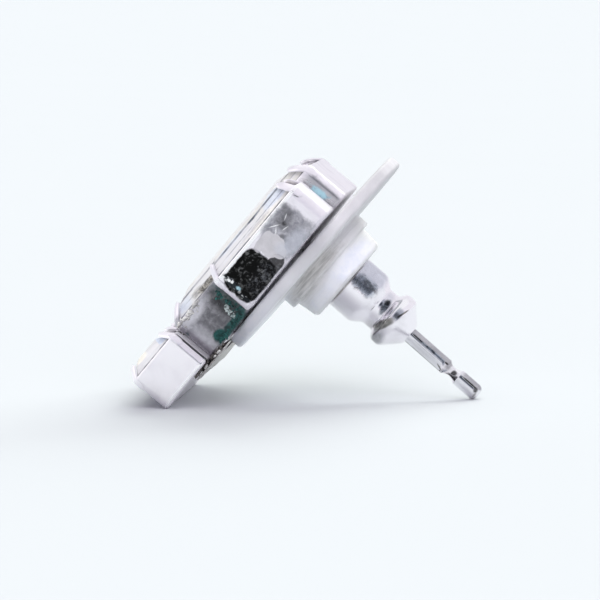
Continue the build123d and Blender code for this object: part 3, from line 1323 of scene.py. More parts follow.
    def centre_patches(self) -> tuple[Patch, ...]:
        """Stains and painted light on the centre cup's near wall, below and above the side cup.

        Returns:
            Painted pale sheen on its top end and back edge, grey tarnish, green corrosion along the joint and
            the back edge, a painted highlight line by the joint, and a turquoise spot.
        """
        x = self.near_wall(0.0, self.centre)
        return (
            Patch(Stain.BLOOM, (x, 3.30, 1.10), (0.9, 0.42, 1.70), 6.0, 0.03, 0.30, 0.90),
            Patch(Stain.BLOOM, (x, 0.0, 0.03), (0.9, 6.0, 0.13), 8.0, 0.03, 0.20, 0.90),
            Patch(Stain.TARNISH, (x, -5.40, 1.00), (0.9, 1.75, 1.50), 6.0, 0.06, 0.10, 0.95),
            Patch(Stain.DEEP_TARNISH, (x, -4.60, 1.05), (0.9, 1.50, 1.15), 3.0, 0.14, 0.40, 0.75),
            Patch(Stain.CLEAN, (x, -5.60, 2.05), (0.9, 0.90, 0.35), 2.0, 0.30, 0.45, 0.75),
            Patch(Stain.CLEAN, (x, -6.80, 0.80), (0.9, 0.85, 1.20), 3.0, 0.20, 0.60, 0.45),
            Patch(Stain.SOOT, (x, -4.25, 1.05), (0.9, 0.50, 1.00), 2.0, 0.20, 0.50, 0.75),
            Patch(Stain.VERDIGRIS, (x, -4.05, 1.20), (0.9, 0.25, 1.05), 3.0, 0.16, 0.40, 0.30),
            Patch(Stain.VERDIGRIS, (x, -4.85, 0.20), (0.9, 1.00, 0.24), 3.0, 0.34, 0.25, 0.90),
            Patch(Stain.VERDIGRIS, (x, -5.62, 0.38), (0.9, 0.32, 0.30), 2.0, 0.24, 0.25, 1.0),
            Patch(Stain.VERDIGRIS, (x, -6.66, 1.61), (0.9, 0.13, 0.10), 2.0, 0.30, 0.50, 0.65),
            Patch(Stain.BRIGHT, (x, -6.70, 1.15), (0.9, 0.035, 1.00), 4.0, 0.05, 0.30, 0.80),
            Patch(Stain.SHADE, (x - 0.2, 2.82, 1.05), (0.9, 0.40, 1.02), 4.0, 0.10, 0.20, 0.80),
            Patch(Stain.TURQUOISE, (x, 2.74, 1.06), (0.9, 0.18, 0.46), 2.0, 0.80, 0.50, 1.0),
        )

    def row_patches(self) -> tuple[Patch, ...]:
        """Painted light on the near end of the row: brown shade at its lower end, grey shade, pale sheen and
        a dark line on its upper end, and a highlight along its back edge.
        """
        x = self.near_wall(self.row_x(self.row_count - 1), self.row)
        top = self.row_y() + self.row.length / 2
        return (
            Patch(Stain.BROWN, (x, self.row_y() - 1.75, 0.65), (0.8, 0.85, 0.80), 2.0, 0.05, 0.80, 0.18),
            Patch(Stain.DULL, (x - 1.45, top, 1.00), (0.62, 0.12, 1.40), 8.0, 0.03, 0.10, 0.95),
            Patch(Stain.BLOOM, (x - 0.85, top, 1.00), (0.16, 0.12, 1.40), 8.0, 0.03, 0.10, 0.95),
            Patch(Stain.SOOT, (x - 0.46, top, 0.85), (0.24, 0.10, 1.05), 8.0, 0.03, 0.10, 0.85),
            Patch(Stain.BLOOM, (x - 0.08, top - 0.14, 1.00), (0.15, 0.13, 1.40), 8.0, 0.03, 0.10, 0.95),
            Patch(Stain.BRIGHT, (x, self.row_y(), 0.14), (0.8, 1.6, 0.05), 6.0, 0.03, 0.40, 0.90),
        )

    def row_x(self, number: int) -> float:
        """Middle of a cup of the row, across the head."""
        return (number - (self.row_count - 1) / 2) * (self.row.width - self.lap)

    def cups(self) -> list[Cup]:
        """The seven cups in their places.

        Returns:
            The centre cup, the side cups and the row.
        """
        side_x, side_y = self.side_place()
        bright = PlatedMetal("plated_bright")
        far = PlatedMetal("plated_far", roughness=0.30)
        near = PlatedMetal("plated_side_near", patches=self.side_patches())
        middle = PlatedMetal("plated_centre", patches=self.centre_patches())
        # The near end of the row wears a lighter copy of the plating: painted light, for the light its wall
        # throws back.
        end = PlatedMetal("plated_row_near", (1.0, 0.97, 1.0), (0.90, 0.87, 0.91), smudge=0.08,
                          patches=self.row_patches())
        cups = [
            Cup("cup_centre", "centre_stone", self.centre, (0.0, self.centre_top - self.centre.length / 2),
                middle, 11),
            Cup("cup_side_near", "side_stone_right", self.side, (side_x, side_y), near, 23),
            Cup("cup_side_far", "side_stone_left", self.side, (-side_x, side_y), far, 31),
        ]
        end_wall = self.near_wall(self.row_x(self.row_count - 1), self.row)
        dents = (
            Dent((end_wall, self.row_y() + 1.05, 1.05), 0.12, 0.03),
            Dent((end_wall, self.row_y() + 0.35, 1.00), 0.14, 0.03),
            Dent((end_wall, self.row_y() - 0.30, 1.62), 0.10, 0.02),
        )
        for number in range(self.row_count):
            last = number == self.row_count - 1
            cups.append(Cup(
                f"cup_row_{number + 1}", f"row_stone_{number + 1}", self.row,
                (self.row_x(number), self.row_y()), end if last else bright, 41 + number,
                dents=dents if last else (),
            ))
        return cups

    def build(self, lie: Lie) -> None:
        """Builds and dresses every cup and stone.

        Args:
            lie: How the earring lies.
        """
        metals: dict[str, bpy.types.Material] = {}
        laid = lie.head_matrix()
        foil = MirrorFoil("stone_foil").material(laid)
        glass = {size: look.material(laid) for size, look in self.glass().items()}
        for cup in self.cups():
            if cup.finish.name not in metals:
                metals[cup.finish.name] = cup.finish.material(laid)
            cup.build_metal(lie, metals[cup.finish.name])
            cup.build_stone(lie, [glass[cup.size], foil])


@dataclass(frozen=True)
class Seam:
    """A line along which lumps have grown or run."""

    start: Point
    end: Point
    count: int
    width: float                   # spread to both sides of the line
    small: float                   # smallest and largest lump
    large: float
    outward: Point = (1.0, 0.0, 0.0)


@dataclass(frozen=True)
class Crumbs:
    """Many small lumps joined into one piece, scattered along seams."""

    name: str
    seams: tuple[Seam, ...]
    finish: Crust
    seed: int
    flatness: float = 0.6
    jagged: float = 0.35
    slot: Slot | None = None

    def template(self) -> tuple[list[Vector], list[tuple[int, ...]]]:
        """Points and faces of a ball with radius 1.

        Returns:
            Its points and faces.
        """
        ball = bmesh.new()
        bmesh.ops.create_icosphere(ball, subdivisions=2, radius=1.0)
        ball.verts.index_update()
        points = [vertex.co.copy() for vertex in ball.verts]
        faces = [tuple(vertex.index for vertex in face.verts) for face in ball.faces]
        ball.free()
        return points, faces

    def build(self, lie: Lie) -> None:
        """Builds and dresses the lumps.

        Args:
            lie: How the earring lies.
        """
        chance = random.Random(self.seed)
        ball, faces = self.template()
        bench = Bench()
        for seam in self.seams:
            start = Vector(seam.start)
            run = Vector(seam.end) - start
            outward = Vector(seam.outward).normalized()
            aside = run.normalized().cross(outward)
            for _ in range(seam.count):
                middle = start + run * chance.random() + aside * chance.gauss(0.0, seam.width)
                radius = seam.small + (seam.large - seam.small) * chance.random() ** 2
                middle += outward * radius * self.flatness * 0.25
                turn = Matrix.Rotation(chance.uniform(0, 2 * math.pi), 3, outward)
                key = Vector((chance.random(), chance.random(), chance.random())) * 50
                stretch = chance.uniform(0.7, 1.5)
                points = []
                for spot in ball:
                    swell = 1.0 + self.jagged * noise.noise(spot * 1.6 + key) * 1.6
                    along = spot.dot(outward)
                    flat = spot - outward * along * (1 - self.flatness)
                    flat += run.normalized() * spot.dot(run.normalized()) * (stretch - 1)
                    points.append(middle + turn @ (flat * radius * swell))
                bench.add(points, faces)
        laid = lie.head_matrix()
        piece = bench.build(self.name, laid, [self.finish.material(laid)])
        dress(piece, Body.HEAD)


@dataclass(frozen=True)
class BackStrip:
    """Thin strip of metal that is soldered across the backs, where the row meets the centre cup."""

    half_length: float = 5.70      # across the head
    top: float = -6.20
    foot: float = -7.80
    near_top: float = -5.30        # where it climbs beside the clutch's disc
    stands_off: float = 0.17
    thick: float = 0.10

    def edge(self, across: float) -> float:
        """Upper edge at a place across the head."""
        rise = max(0.0, min(1.0, (across - 4.2) / 0.9))
        return self.top + (self.near_top - self.top) * rise * rise * (3 - 2 * rise)

    def build(self, lie: Lie) -> None:
        """Builds and dresses the strip.

        Args:
            lie: How the earring lies.
        """
        bench = Bench()
        rings = []
        for across in spread(-self.half_length, self.half_length, 60):
            end = min(1.0, (self.half_length - abs(across)) / 0.12 + 0.25)
            ring = []
            for turn in range(20):
                angle = 2 * math.pi * turn / 20
                along = math.copysign(abs(math.cos(angle)) ** 0.35, math.cos(angle))
                out = math.copysign(abs(math.sin(angle)) ** 0.6, math.sin(angle)) * end
                upper = self.edge(across)
                y = (upper + self.foot) / 2 + along * (upper - self.foot) / 2
                wave = 0.03 * noise.noise(Vector((across * 0.8, y * 0.8, 3.0)))
                ring.append((across, y, -self.stands_off - self.thick / 2 * (1 - out) + wave))
            rings.append(ring)
        bench.loft(rings)
        laid = lie.head_matrix()
        # Its dark tint and mottle and the brown patch are painted shade, for the shade behind the head.
        finish = PlatedMetal("strip_metal", (0.72, 0.70, 0.68), (0.25, 0.23, 0.21), 0.34, patches=(
            Patch(Stain.BROWN, (0.0, -7.0, -0.2), (7.0, 1.4, 0.5), 4.0, 0.3, 0.3, 0.6),
        ))
        dress(bench.build("back_strip", laid, [finish.material(laid)]), Body.HEAD)


def lathe_line(corners: Sequence[tuple[float, float, float]], step: float, closed: bool) -> list[Vector]:
    """Outline of a turned piece with its corners rounded.

    Args:
        corners: Radius, height and rounding of each corner.
        step: Longest stretch between two points of the line.
        closed: Whether the line comes back to its start.

    Returns:
        Points as radius and height.
    """
    points = [Vector((radius, height)) for radius, height, _ in corners]
    line: list[Vector] = []
    count = len(corners)
    for i, here in enumerate(points):
        rounding = corners[i][2]
        if not closed and i in (0, count - 1):
            line.append(here)
            continue
        before = (points[i - 1] - here).normalized()
        after = (points[(i + 1) % count] - here).normalized()
        opening = math.acos(max(-1.0, min(1.0, before.dot(after))))
        reach = rounding / math.tan(opening / 2)
        start = here + before * reach
        end = here + after * reach
        steps = 1 if rounding < 0.01 else max(3, round(rounding / 0.03))
        middle = here + (before + after).normalized() * (rounding / math.sin(opening / 2))
        for share in spread(0.0, 1.0, min(steps, 9) + 1):
            point = start.lerp(end, share) - middle
            line.append(middle + point.normalized() * rounding)
    finer: list[Vector] = []
    pairs = list(zip(line, line[1:] + line[:1])) if closed else list(zip(line, line[1:]))
    for start, end in pairs:
        pieces = max(1, math.ceil((end - start).length / step))
        finer.extend(start.lerp(end, i / pieces) for i in range(pieces))
    if not closed:
        finer.append(line[-1])
    return finer


@dataclass(frozen=True)
class Turned:
    """A piece turned or moulded round an axis, slightly out of true."""

    name: str
    corners: tuple[tuple[float, float, float], ...]
    closed: bool = True
    segments: int = 96
    step: float = 0.25
    wobble: float = 0.004
    seed: int = 5

    def build(self, laid: Matrix, finish: bpy.types.Material) -> bpy.types.Object:
        """Builds the piece.

        Args:
            laid: Matrix that lays it down.
            finish: Its material.

        Returns:
            The piece.
        """
        bench = Bench()
        rings = []
        for radius, height in lathe_line(self.corners, self.step, self.closed):
            if radius < 1e-6:
                rings.append(bench.ring([(0.0, 0.0, height)]))
                continue
            ring = []
            for number in range(self.segments):
                turn = 2 * math.pi * number / self.segments
                spot = Vector((radius * math.cos(turn), radius * math.sin(turn), height))
                off = noise.noise(spot * 0.9 + Vector((0, 0, self.seed))) - 1.0
                share = 1 + off * self.wobble / max(radius, 0.4)
                ring.append((spot.x * share, spot.y * share, spot.z))
            rings.append(bench.ring(ring))
        pairs = list(zip(rings, rings[1:]))
        if self.closed:
            pairs.append((rings[-1], rings[0]))
        for lower, upper in pairs:
            self.join(bench, lower, upper)
        return bench.build(self.name, laid, [finish])

    @staticmethod
    def join(bench: Bench, lower: list[int], upper: list[int]) -> None:
        """Joins two rings, or a ring and a point on the axis.

        Args:
            bench: Where the faces go.
            lower: First ring.
            upper: Second ring.
        """
        if len(lower) > 1 and len(upper) > 1:
            bench.bridge(lower, upper)
            return
        ring = lower if len(lower) > 1 else upper
        count = len(ring)
        for i in range(count):
            j = (i + 1) % count
            if len(lower) == 1:
                bench.face((lower[0], ring[j], ring[i]))
            else:
                bench.face((ring[i], ring[j], upper[0]))


@dataclass(frozen=True)
class Post:
    """The straight post with solder at its foot, a notch and a rounded tip."""

    radius: float = 0.40
    tip_radius: float = 0.416
    length: float = 11.15
    tip_round: float = 0.28
    foot_radius: float = 0.62
    foot_height: float = 0.12
    notch_at: float = 9.42
    notch_width: float = 0.76
    neck_radius: float = 0.24

    def notch(self) -> list[tuple[float, float, float]]:
        """Outline of the notch.

        Returns:
            Radius, height and rounding of its points.
        """
        depth = self.radius - self.neck_radius
        bend = ((self.notch_width / 2) ** 2 + depth ** 2) / (2 * depth)
        points = []
        for away in spread(-self.notch_width / 2, self.notch_width / 2, 15):
            radius = self.neck_radius + bend - math.sqrt(bend ** 2 - away ** 2)
            points.append((radius, self.notch_at + away, 0.0))
        return points

    def patches(self) -> tuple[Patch, ...]:
        """Painted reflections: grey and dark streaks along the post, and painted shade and a highlight in its
        notch.

        Returns:
            The painted streaks from the clutch to the tip.
        """
        upper = -self.radius
        return (
            Patch(Stain.SHADE, (0.0, upper, 7.80), (2.0, 0.24, 1.42), 5.0, 0.05, 0.16, 0.90),
            Patch(Stain.SHADE, (0.0, upper, 10.55), (2.0, 0.20, 0.62), 4.0, 0.06, 0.20, 0.85),
            Patch(Stain.SHADE, (0.2, 0.14, 8.30), (0.6, 0.30, 2.30), 4.0, 0.30, 0.60, 0.15),
            Patch(Stain.SHADE, (0.2, -0.18, 9.10), (0.6, 0.24, 0.14), 3.0, 0.20, 0.40, 0.85),
            Patch(Stain.SOOT, (0.3, -0.17, 7.10), (0.5, 0.032, 0.42), 3.0, 0.25, 0.30, 0.95),
            Patch(Stain.BLUED, (0.3, -0.16, 8.05), (0.5, 0.060, 0.75), 3.0, 0.40, 0.40, 0.85),
            Patch(Stain.SOOT, (0.3, -0.17, 8.95), (0.5, 0.050, 0.12), 2.0, 0.30, 0.40, 0.95),
            Patch(Stain.SHADE, (0.3, 0.02, 7.70), (0.5, 0.025, 0.90), 3.0, 0.50, 0.50, 0.50),
            Patch(Stain.OLIVE, (0.0, self.radius, 7.60), (2.0, 0.060, 1.30), 4.0, 0.20, 0.40, 0.80),
            Patch(Stain.OLIVE, (0.3, 0.20, 8.80), (0.5, 0.035, 0.22), 2.0, 0.20, 0.30, 0.85, -20.0),
            Patch(Stain.SOOT, (0.3, -0.05, self.notch_at + 0.14), (0.5, 0.11, 0.12), 2.0, 0.35, 0.40, 0.85),
            Patch(Stain.BRIGHT, (0.2, -0.30, self.notch_at + 0.20), (0.5, 0.12, 0.16), 3.0, 0.10, 0.20, 1.0),
            Patch(Stain.SOOT, (0.3, -0.20, 10.45), (0.5, 0.035, 0.50), 3.0, 0.25, 0.30, 0.95),
            Patch(Stain.SOOT, (0.3, -0.11, 10.88), (0.5, 0.13, 0.12), 2.0, 0.35, 0.40, 0.85),
            Patch(Stain.OLIVE, (0.3, 0.10, 10.98), (0.5, 0.16, 0.05), 2.0, 0.30, 0.40, 0.70),
        )

    def build(self, lie: Lie) -> None:
        """Builds and dresses the post.

        Args:
            lie: How the earring lies.
        """
        finish = PolishedMetal("post_steel", (0.86, 0.85, 0.88), 0.10, 0.12, 0.0010, 0.006, (1.0, 1.0, 3.0),
                               self.patches())
        corners = (
            (0.0, 0.0, 0.0), (self.foot_radius, 0.0, 0.0), (self.foot_radius, self.foot_height / 3, 0.02),
            (self.radius, self.foot_height, 0.03), *self.notch(),
            (self.tip_radius, self.notch_at + self.notch_width / 2 + 0.04, 0.02),
            (self.tip_radius, self.length, self.tip_round), (0.0, self.length, 0.0),
        )
        turned = Turned("post", corners, closed=False, segments=48, step=0.3, wobble=0.003)
        laid = lie.clutch_matrix(0.0)
        dress(turned.build(laid, finish.material(laid)), Body.HEAD, ["setting"])


@dataclass(frozen=True)
class Clutch:
    """Comfort clutch: a plastic disc with a stepped hub, and a turned barrel held in it."""

    gap: float = 0.20
    disc_radius: float = 6.0
    disc_thick: float = 0.66
    disc_edge: float = 0.20
    collar_radius: float = 2.76
    collar_end: float = 1.34
    hub_radius: float = 2.44
    hub_rear_radius: float = 2.32
    hub_end: float = 2.50
    hub_round: float = 0.28
    flange_radius: float = 1.90
    flange_from: float = 1.55
    flange_to: float = 1.95
    barrel_radius: float = 1.46
    barrel_end: float = 3.80
    shoulder_end: float = 4.32
    neck_radius: float = 1.06
    neck_end: float = 4.86
    ring_radius: float = 1.44
    ring_from: float = 5.12
    ring_to: float = 5.62
    rear_radius: float = 0.56
    length: float = 6.48
    bore_radius: float = 0.46
    fit: float = 0.02

    def disc_corners(self) -> tuple[tuple[float, float, float], ...]:
        """Outline of the disc and its hub, from the bore round the outside to the barrel's seat."""
        return (
            (self.bore_radius, 0.0, 0.03), (self.disc_radius, 0.0, self.disc_edge),
            (self.disc_radius, self.disc_thick, self.disc_edge), (self.collar_radius, self.disc_thick, 0.08),
            (self.collar_radius, self.collar_end, self.disc_edge / 2),
            (self.hub_radius, self.collar_end, 0.06),
            (self.hub_rear_radius, self.hub_end, self.hub_round),
            (self.barrel_radius + self.fit, self.hub_end, 0.04),
            (self.barrel_radius + self.fit, self.flange_to + self.fit, 0.0),
            (self.flange_radius + self.fit, self.flange_to + self.fit, 0.0),
            (self.flange_radius + self.fit, self.flange_from - self.fit, 0.0),
            (self.bore_radius, self.flange_from - self.fit, 0.0),
        )

    def barrel_corners(self) -> tuple[tuple[float, float, float], ...]:
        """Outline of the barrel, from its bore over the hidden flange to its rear."""
        return (
            (self.bore_radius, self.flange_from, 0.02), (self.flange_radius, self.flange_from, 0.05),
            (self.flange_radius, self.flange_to, 0.05), (self.barrel_radius, self.flange_to, 0.02),
            (self.barrel_radius, self.barrel_end, 0.5), (self.neck_radius, self.shoulder_end, 0.2),
            (self.neck_radius, self.neck_end, 0.16), (self.ring_radius, self.ring_from, 0.28),
            (self.ring_radius, self.ring_to, 0.28), (self.rear_radius, self.length, 0.05),
            (self.bore_radius, self.length, 0.02),
        )

    def plastic_patches(self) -> tuple[Patch, ...]:
        """Marks and painted shade on the near side of the plastic.

        Returns:
            A painted grey shade on the disc's upper end, a frosted lower end on the disc, frost on the hub,
            and streaky scuffs on the collar and at the hub's rear.
        """
        near = self.hub_radius
        return (
            Patch(Stain.DULL, (0.0, -5.40, 0.30), (6.5, 4.60, 0.80), 2.0, 0.05, 0.80, 0.85),
            Patch(Stain.FROST, (0.0, 4.90, 0.30), (6.5, 3.20, 0.80), 2.0, 0.05, 0.80, 0.85),
            Patch(Stain.FROST, (near, -1.20, 1.95), (1.8, 1.50, 0.50), 3.0, 0.15, 0.40, 1.0),
            Patch(Stain.FROST, (near, 1.20, 2.05), (1.8, 1.20, 0.30), 3.0, 0.15, 0.50, 0.60),
            Patch(Stain.SCUFF, (near, 0.75, 0.98), (1.6, 1.90, 0.34), 3.0, 0.20, 0.50, 0.90),
            Patch(Stain.SCUFF, (near, 1.50, 1.42), (1.6, 1.10, 0.16), 2.0, 0.25, 0.60, 0.60),
            Patch(Stain.SCUFF, (near, 0.30, 0.74), (1.6, 1.10, 0.14), 2.0, 0.25, 0.60, 0.60),
            Patch(Stain.SCUFF, (near, 0.0, self.hub_end - 0.05), (1.6, 1.50, 0.10), 3.0, 0.25, 0.50, 0.40),
        )

    def barrel_patches(self) -> tuple[Patch, ...]:
        """Painted reflections and shade on the barrel.

        Returns:
            A painted hazy and blue-grey reflection on the near side, painted dark in the neck, painted
            highlights and olive bands on the ring, painted shade on its lower side, and a brown line of
            painted shade where it meets the hub.
        """
        near = self.barrel_radius
        return (
            Patch(Stain.HAZE, (near, -1.15, 3.20), (1.9, 0.50, 0.75), 4.0, 0.10, 0.25, 0.95),
            Patch(Stain.BROWN, (near, 0.95, 4.75), (1.4, 0.35, 0.30), 2.0, 0.15, 0.60, 0.45),
            Patch(Stain.BLUED, (near, -0.52, 3.22), (0.6, 0.40, 0.62), 3.0, 0.30, 0.25, 0.65),
            Patch(Stain.GRIT, (near, -0.70, 3.42), (0.6, 0.13, 0.46), 2.0, 0.35, 0.40, 0.60, -10.0),
            Patch(Stain.HAZE, (near, -0.90, 4.55), (1.2, 0.50, 0.28), 2.0, 0.15, 0.40, 0.60),
            Patch(Stain.BLUED, (near, -0.38, 4.66), (0.9, 0.50, 0.18), 2.0, 0.25, 0.30, 0.90),
            Patch(Stain.SOOT, (near, -0.55, 4.60), (0.9, 0.22, 0.16), 2.0, 0.25, 0.30, 0.80),
            Patch(Stain.OLIVE, (near, 0.38, 5.12), (0.9, 0.58, 0.20), 3.0, 0.12, 0.25, 0.90, -24.0),
            Patch(Stain.BRIGHT, (near, -1.00, 5.20), (0.9, 0.50, 0.20), 3.0, 0.08, 0.20, 1.0, -14.0),
            Patch(Stain.OLIVE, (near, -0.62, 5.52), (0.9, 0.42, 0.050), 2.0, 0.15, 0.30, 0.90, -17.0),
            Patch(Stain.SHADE, (near - 0.6, 1.12, 5.35), (1.2, 0.46, 0.30), 2.0, 0.10, 0.60, 1.0),
            Patch(Stain.BRIGHT, (near, -0.32, 5.42), (0.9, 0.09, 0.06), 2.0, 0.10, 0.40, 1.0),
            Patch(Stain.BROWN, (near, 0.0, self.hub_end + 0.02), (1.0, 1.2, 0.07), 4.0, 0.20, 0.30, 0.75),
        )

    def build(self, lie: Lie) -> None:
        """Builds and dresses the disc and the barrel.

        Args:
            lie: How the earring lies.
        """
        laid = lie.clutch_matrix(self.gap)
        disc = Turned("plastic_disc", self.disc_corners(), segments=144, step=0.22, wobble=0.012, seed=9)
        plastic = FrostedPlastic("frosted_plastic", aged_from=self.disc_thick - 0.3, aged_to=self.hub_end,
                                 patches=self.plastic_patches())
        dress(disc.build(laid, plastic.material(laid)), Body.CLUTCH, ["clutch_disc"])
        barrel = Turned("turned_barrel", self.barrel_corners(), segments=128, step=0.16, wobble=0.006, seed=3)
        bright = PolishedMetal("barrel_plating", patches=self.barrel_patches())
        dress(barrel.build(laid, bright.material(laid)), Body.CLUTCH, ["clutch_barrel"])


@dataclass(frozen=True)
class View:
    """Where the camera stands, as seen from the foot of the post."""

    azimuth: float = 5.195
    elevation: float = 4.633
    distance: float = 200.0
    scale: float = 20.37           # pixels in a millimetre at the foot of the post
    picture: float = 600.0         # width and height of the picture
    foot_in_picture: tuple[float, float] = (307.5, 245.2)
    sensor: float = 36.0

    def build(self, lie: Lie) -> None:
        """Makes the camera.

        Args:
            lie: How the earring lies.
        """
        turn = math.radians(self.azimuth)
        rise = math.radians(self.elevation)
        back = Vector((math.sin(turn) * math.cos(rise), -math.cos(turn) * math.cos(rise), math.sin(rise)))
        look = (-back).to_track_quat("-Z", "Y")
        right = look @ Vector((1, 0, 0))
        up = look @ Vector((0, 1, 0))
        aside = (self.foot_in_picture[0] - self.picture / 2) / self.scale
        below = (self.foot_in_picture[1] - self.picture / 2) / self.scale
        data = bpy.data.cameras.new("camera")
        data.sensor_width = self.sensor
        data.lens = self.sensor * self.scale * self.distance / self.picture
        data.clip_start = 10 * MM
        data.clip_end = 100.0
        camera = bpy.data.objects.new("camera", data)
        bpy.context.scene.collection.objects.link(camera)
        camera.rotation_mode = "QUATERNION"
        camera.rotation_quaternion = look
        camera.location = lie.foot() + (back * self.distance - right * aside + up * below) * MM
        bpy.context.scene.camera = camera


@dataclass(frozen=True)
class Glimpse:
    """Something in the room that bright metal mirrors: its direction, reach and colour."""

    azimuth: float
    elevation: float
    reach: float                   # in degrees
    soft: float
    colour: Colour


@dataclass(frozen=True)
class Softbox:
    """A big soft light: where it stands, how wide it looks and how strong it is."""

    name: str
    towards: Point
    spread: float                  # degrees across
    strength: float
    colour: Colour

    def build(self) -> None:
        """Hangs the light. Bright metal doesn't mirror it, since the room holds its reflection."""
        data = bpy.data.lights.new(self.name, "SUN")
        data.angle = math.radians(self.spread)
        data.energy = self.strength
        data.color = self.colour
        lamp = bpy.data.objects.new(self.name, data)
        bpy.context.scene.collection.objects.link(lamp)
        lamp.rotation_mode = "QUATERNION"
        lamp.rotation_quaternion = Vector(self.towards).to_track_quat("Z", "Y")
        lamp.visible_glossy = False
        lamp.visible_transmission = False


@dataclass(frozen=True)
class Studio:
    """Pale floor, white room and soft light from behind, from above and from the front."""

    floor_reach: float = 9.0       # metres
    floor_colour: Colour = (0.478, 0.493, 0.529)
    room: Colour = (0.30, 0.276, 0.318)
    seen: Colour = (0.913, 0.956, 0.991)
    mirrored: Colour = (0.90, 0.90, 0.95)
    through: Colour = (1.25, 1.25, 1.30)
    softboxes: tuple[Softbox, ...] = (
        Softbox("back_light", (0.28, 0.83, 0.48), 50.0, 4.6, (0.95, 1.0, 0.90)),
        Softbox("front_light", (0.20, -0.80, 0.56), 56.0, 1.7, (1.0, 0.95, 1.04)),
        Softbox("top_light", (0.05, 0.05, 1.0), 80.0, 2.05, (0.95, 1.0, 0.90)),
    )
    glimpses: tuple[Glimpse, ...] = (
        Glimpse(24.0, 27.0, 27.0, 9.0, (0.40, 0.43, 0.50)),
        Glimpse(20.0, 21.0, 11.0, 5.0, (0.05, 0.06, 0.08)),
        Glimpse(-92.0, 34.0, 20.0, 8.0, (1.30, 1.30, 1.32)),
    )
    seen_through: tuple[Glimpse, ...] = (
        Glimpse(-95.0, 30.0, 12.0, 4.0, (0.35, 0.36, 0.40)),
        Glimpse(40.0, 60.0, 10.0, 3.0, (0.20, 0.20, 0.22)),
    )

    def floor(self) -> None:
        """Makes the floor as a disc of rings that grow wider outward."""
        bench = Bench()
        rings = []
        for step in range(14):
            radius = 0.004 * (self.floor_reach / 0.004) ** (step / 13) / MM
            rings.append([(radius * math.cos(math.pi * k / 32), radius * math.sin(math.pi * k / 32), 0.0)
                          for k in range(64)])
        numbers = [bench.ring(ring) for ring in rings]
        bench.face(numbers[0])
        for inner, outer in zip(numbers, numbers[1:]):
            bench.bridge(outer, inner)
        recipe = Recipe("floor_paper", Matrix.Identity(4))
        tone = recipe.cloud(0.03, 3.0, 0.5)
        lighter = tuple(min(1.0, channel * 1.012) for channel in self.floor_colour)
        recipe.shade(base_color=recipe.mix(tone, self.floor_colour, lighter), roughness=0.8,
                     specular_ior_level=0.0)
        bench.build("floor", Matrix.Identity(4), [recipe.material])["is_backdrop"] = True

    def world(self) -> None:
        """Makes the room, which plain, mirrored and transmitted rays each see in their own way."""
        world = bpy.data.worlds.new("room")
        world.use_nodes = True
        bpy.context.scene.world = world
        tree = world.node_tree
        tree.nodes.clear()
        output = tree.nodes.new("ShaderNodeOutputWorld")
        direction = tree.nodes.new("ShaderNodeTexCoord").outputs["Generated"]
        colour: Socket = self._colour(tree, self.mirrored)
        for glimpse in self.glimpses:
            colour = self._glimpse(tree, direction, colour, glimpse)
        through: Socket = self._colour(tree, self.through)
        for glimpse in self.seen_through:
            through = self._glimpse(tree, direction, through, glimpse)
        ray = tree.nodes.new("ShaderNodeLightPath").outputs
        colour = self._mix(tree, ray["Is Transmission Ray"], colour, through)
        colour = self._mix(tree, ray["Is Diffuse Ray"], colour, self._colour(tree, self.room))
        colour = self._mix(tree, ray["Is Camera Ray"], colour, self._colour(tree, self.seen))
        background = tree.nodes.new("ShaderNodeBackground")
        tree.links.new(colour, background.inputs["Color"])
        tree.links.new(background.outputs[0], output.inputs["Surface"])

    @staticmethod
    def _colour(tree: bpy.types.NodeTree, colour: Colour) -> Socket:
        """Output of a constant colour."""
        made = tree.nodes.new("ShaderNodeRGB")
        made.outputs[0].default_value = (*colour, 1.0)
        return made.outputs[0]

    @staticmethod
    def _mix(tree: bpy.types.NodeTree, share: Socket, first: Socket, second: Socket) -> Socket:
        """Blend of two colours by a share of the second."""
        made = tree.nodes.new("ShaderNodeMix")
        made.data_type = "RGBA"
        tree.links.new(share, made.inputs[0])
        tree.links.new(first, made.inputs[6])
        tree.links.new(second, made.inputs[7])
        return made.outputs[2]

    def _glimpse(self, tree: bpy.types.NodeTree, direction: Socket, under: Socket,
                 glimpse: Glimpse) -> Socket:
        """Lays one thing over what is mirrored.

        Args:
            tree: The world's nodes.
            direction: Direction in which a ray looks.
            under: Colour so far.
            glimpse: The thing.

        Returns:
            The colour with it.
        """
        turn = math.radians(glimpse.azimuth)
        rise = math.radians(glimpse.elevation)
        towards = (math.sin(turn) * math.cos(rise), -math.cos(turn) * math.cos(rise), math.sin(rise))
        dot = tree.nodes.new("ShaderNodeVectorMath")
        dot.operation = "DOT_PRODUCT"
        tree.links.new(direction, dot.inputs[0])
        dot.inputs[1].default_value = towards
        mask = tree.nodes.new("ShaderNodeMapRange")
        mask.interpolation_type = "SMOOTHSTEP"
        tree.links.new(dot.outputs["Value"], mask.inputs[0])
        mask.inputs[1].default_value = math.cos(math.radians(glimpse.reach + glimpse.soft))
        mask.inputs[2].default_value = math.cos(math.radians(glimpse.reach - glimpse.soft))
        return self._mix(tree, mask.outputs[0], under, self._colour(tree, glimpse.colour))

    def build(self) -> None:
        """Sets the whole studio up."""
        self.floor()
        self.world()
        for softbox in self.softboxes:
            softbox.build()
        bpy.context.scene.view_settings.view_transform = "Standard"


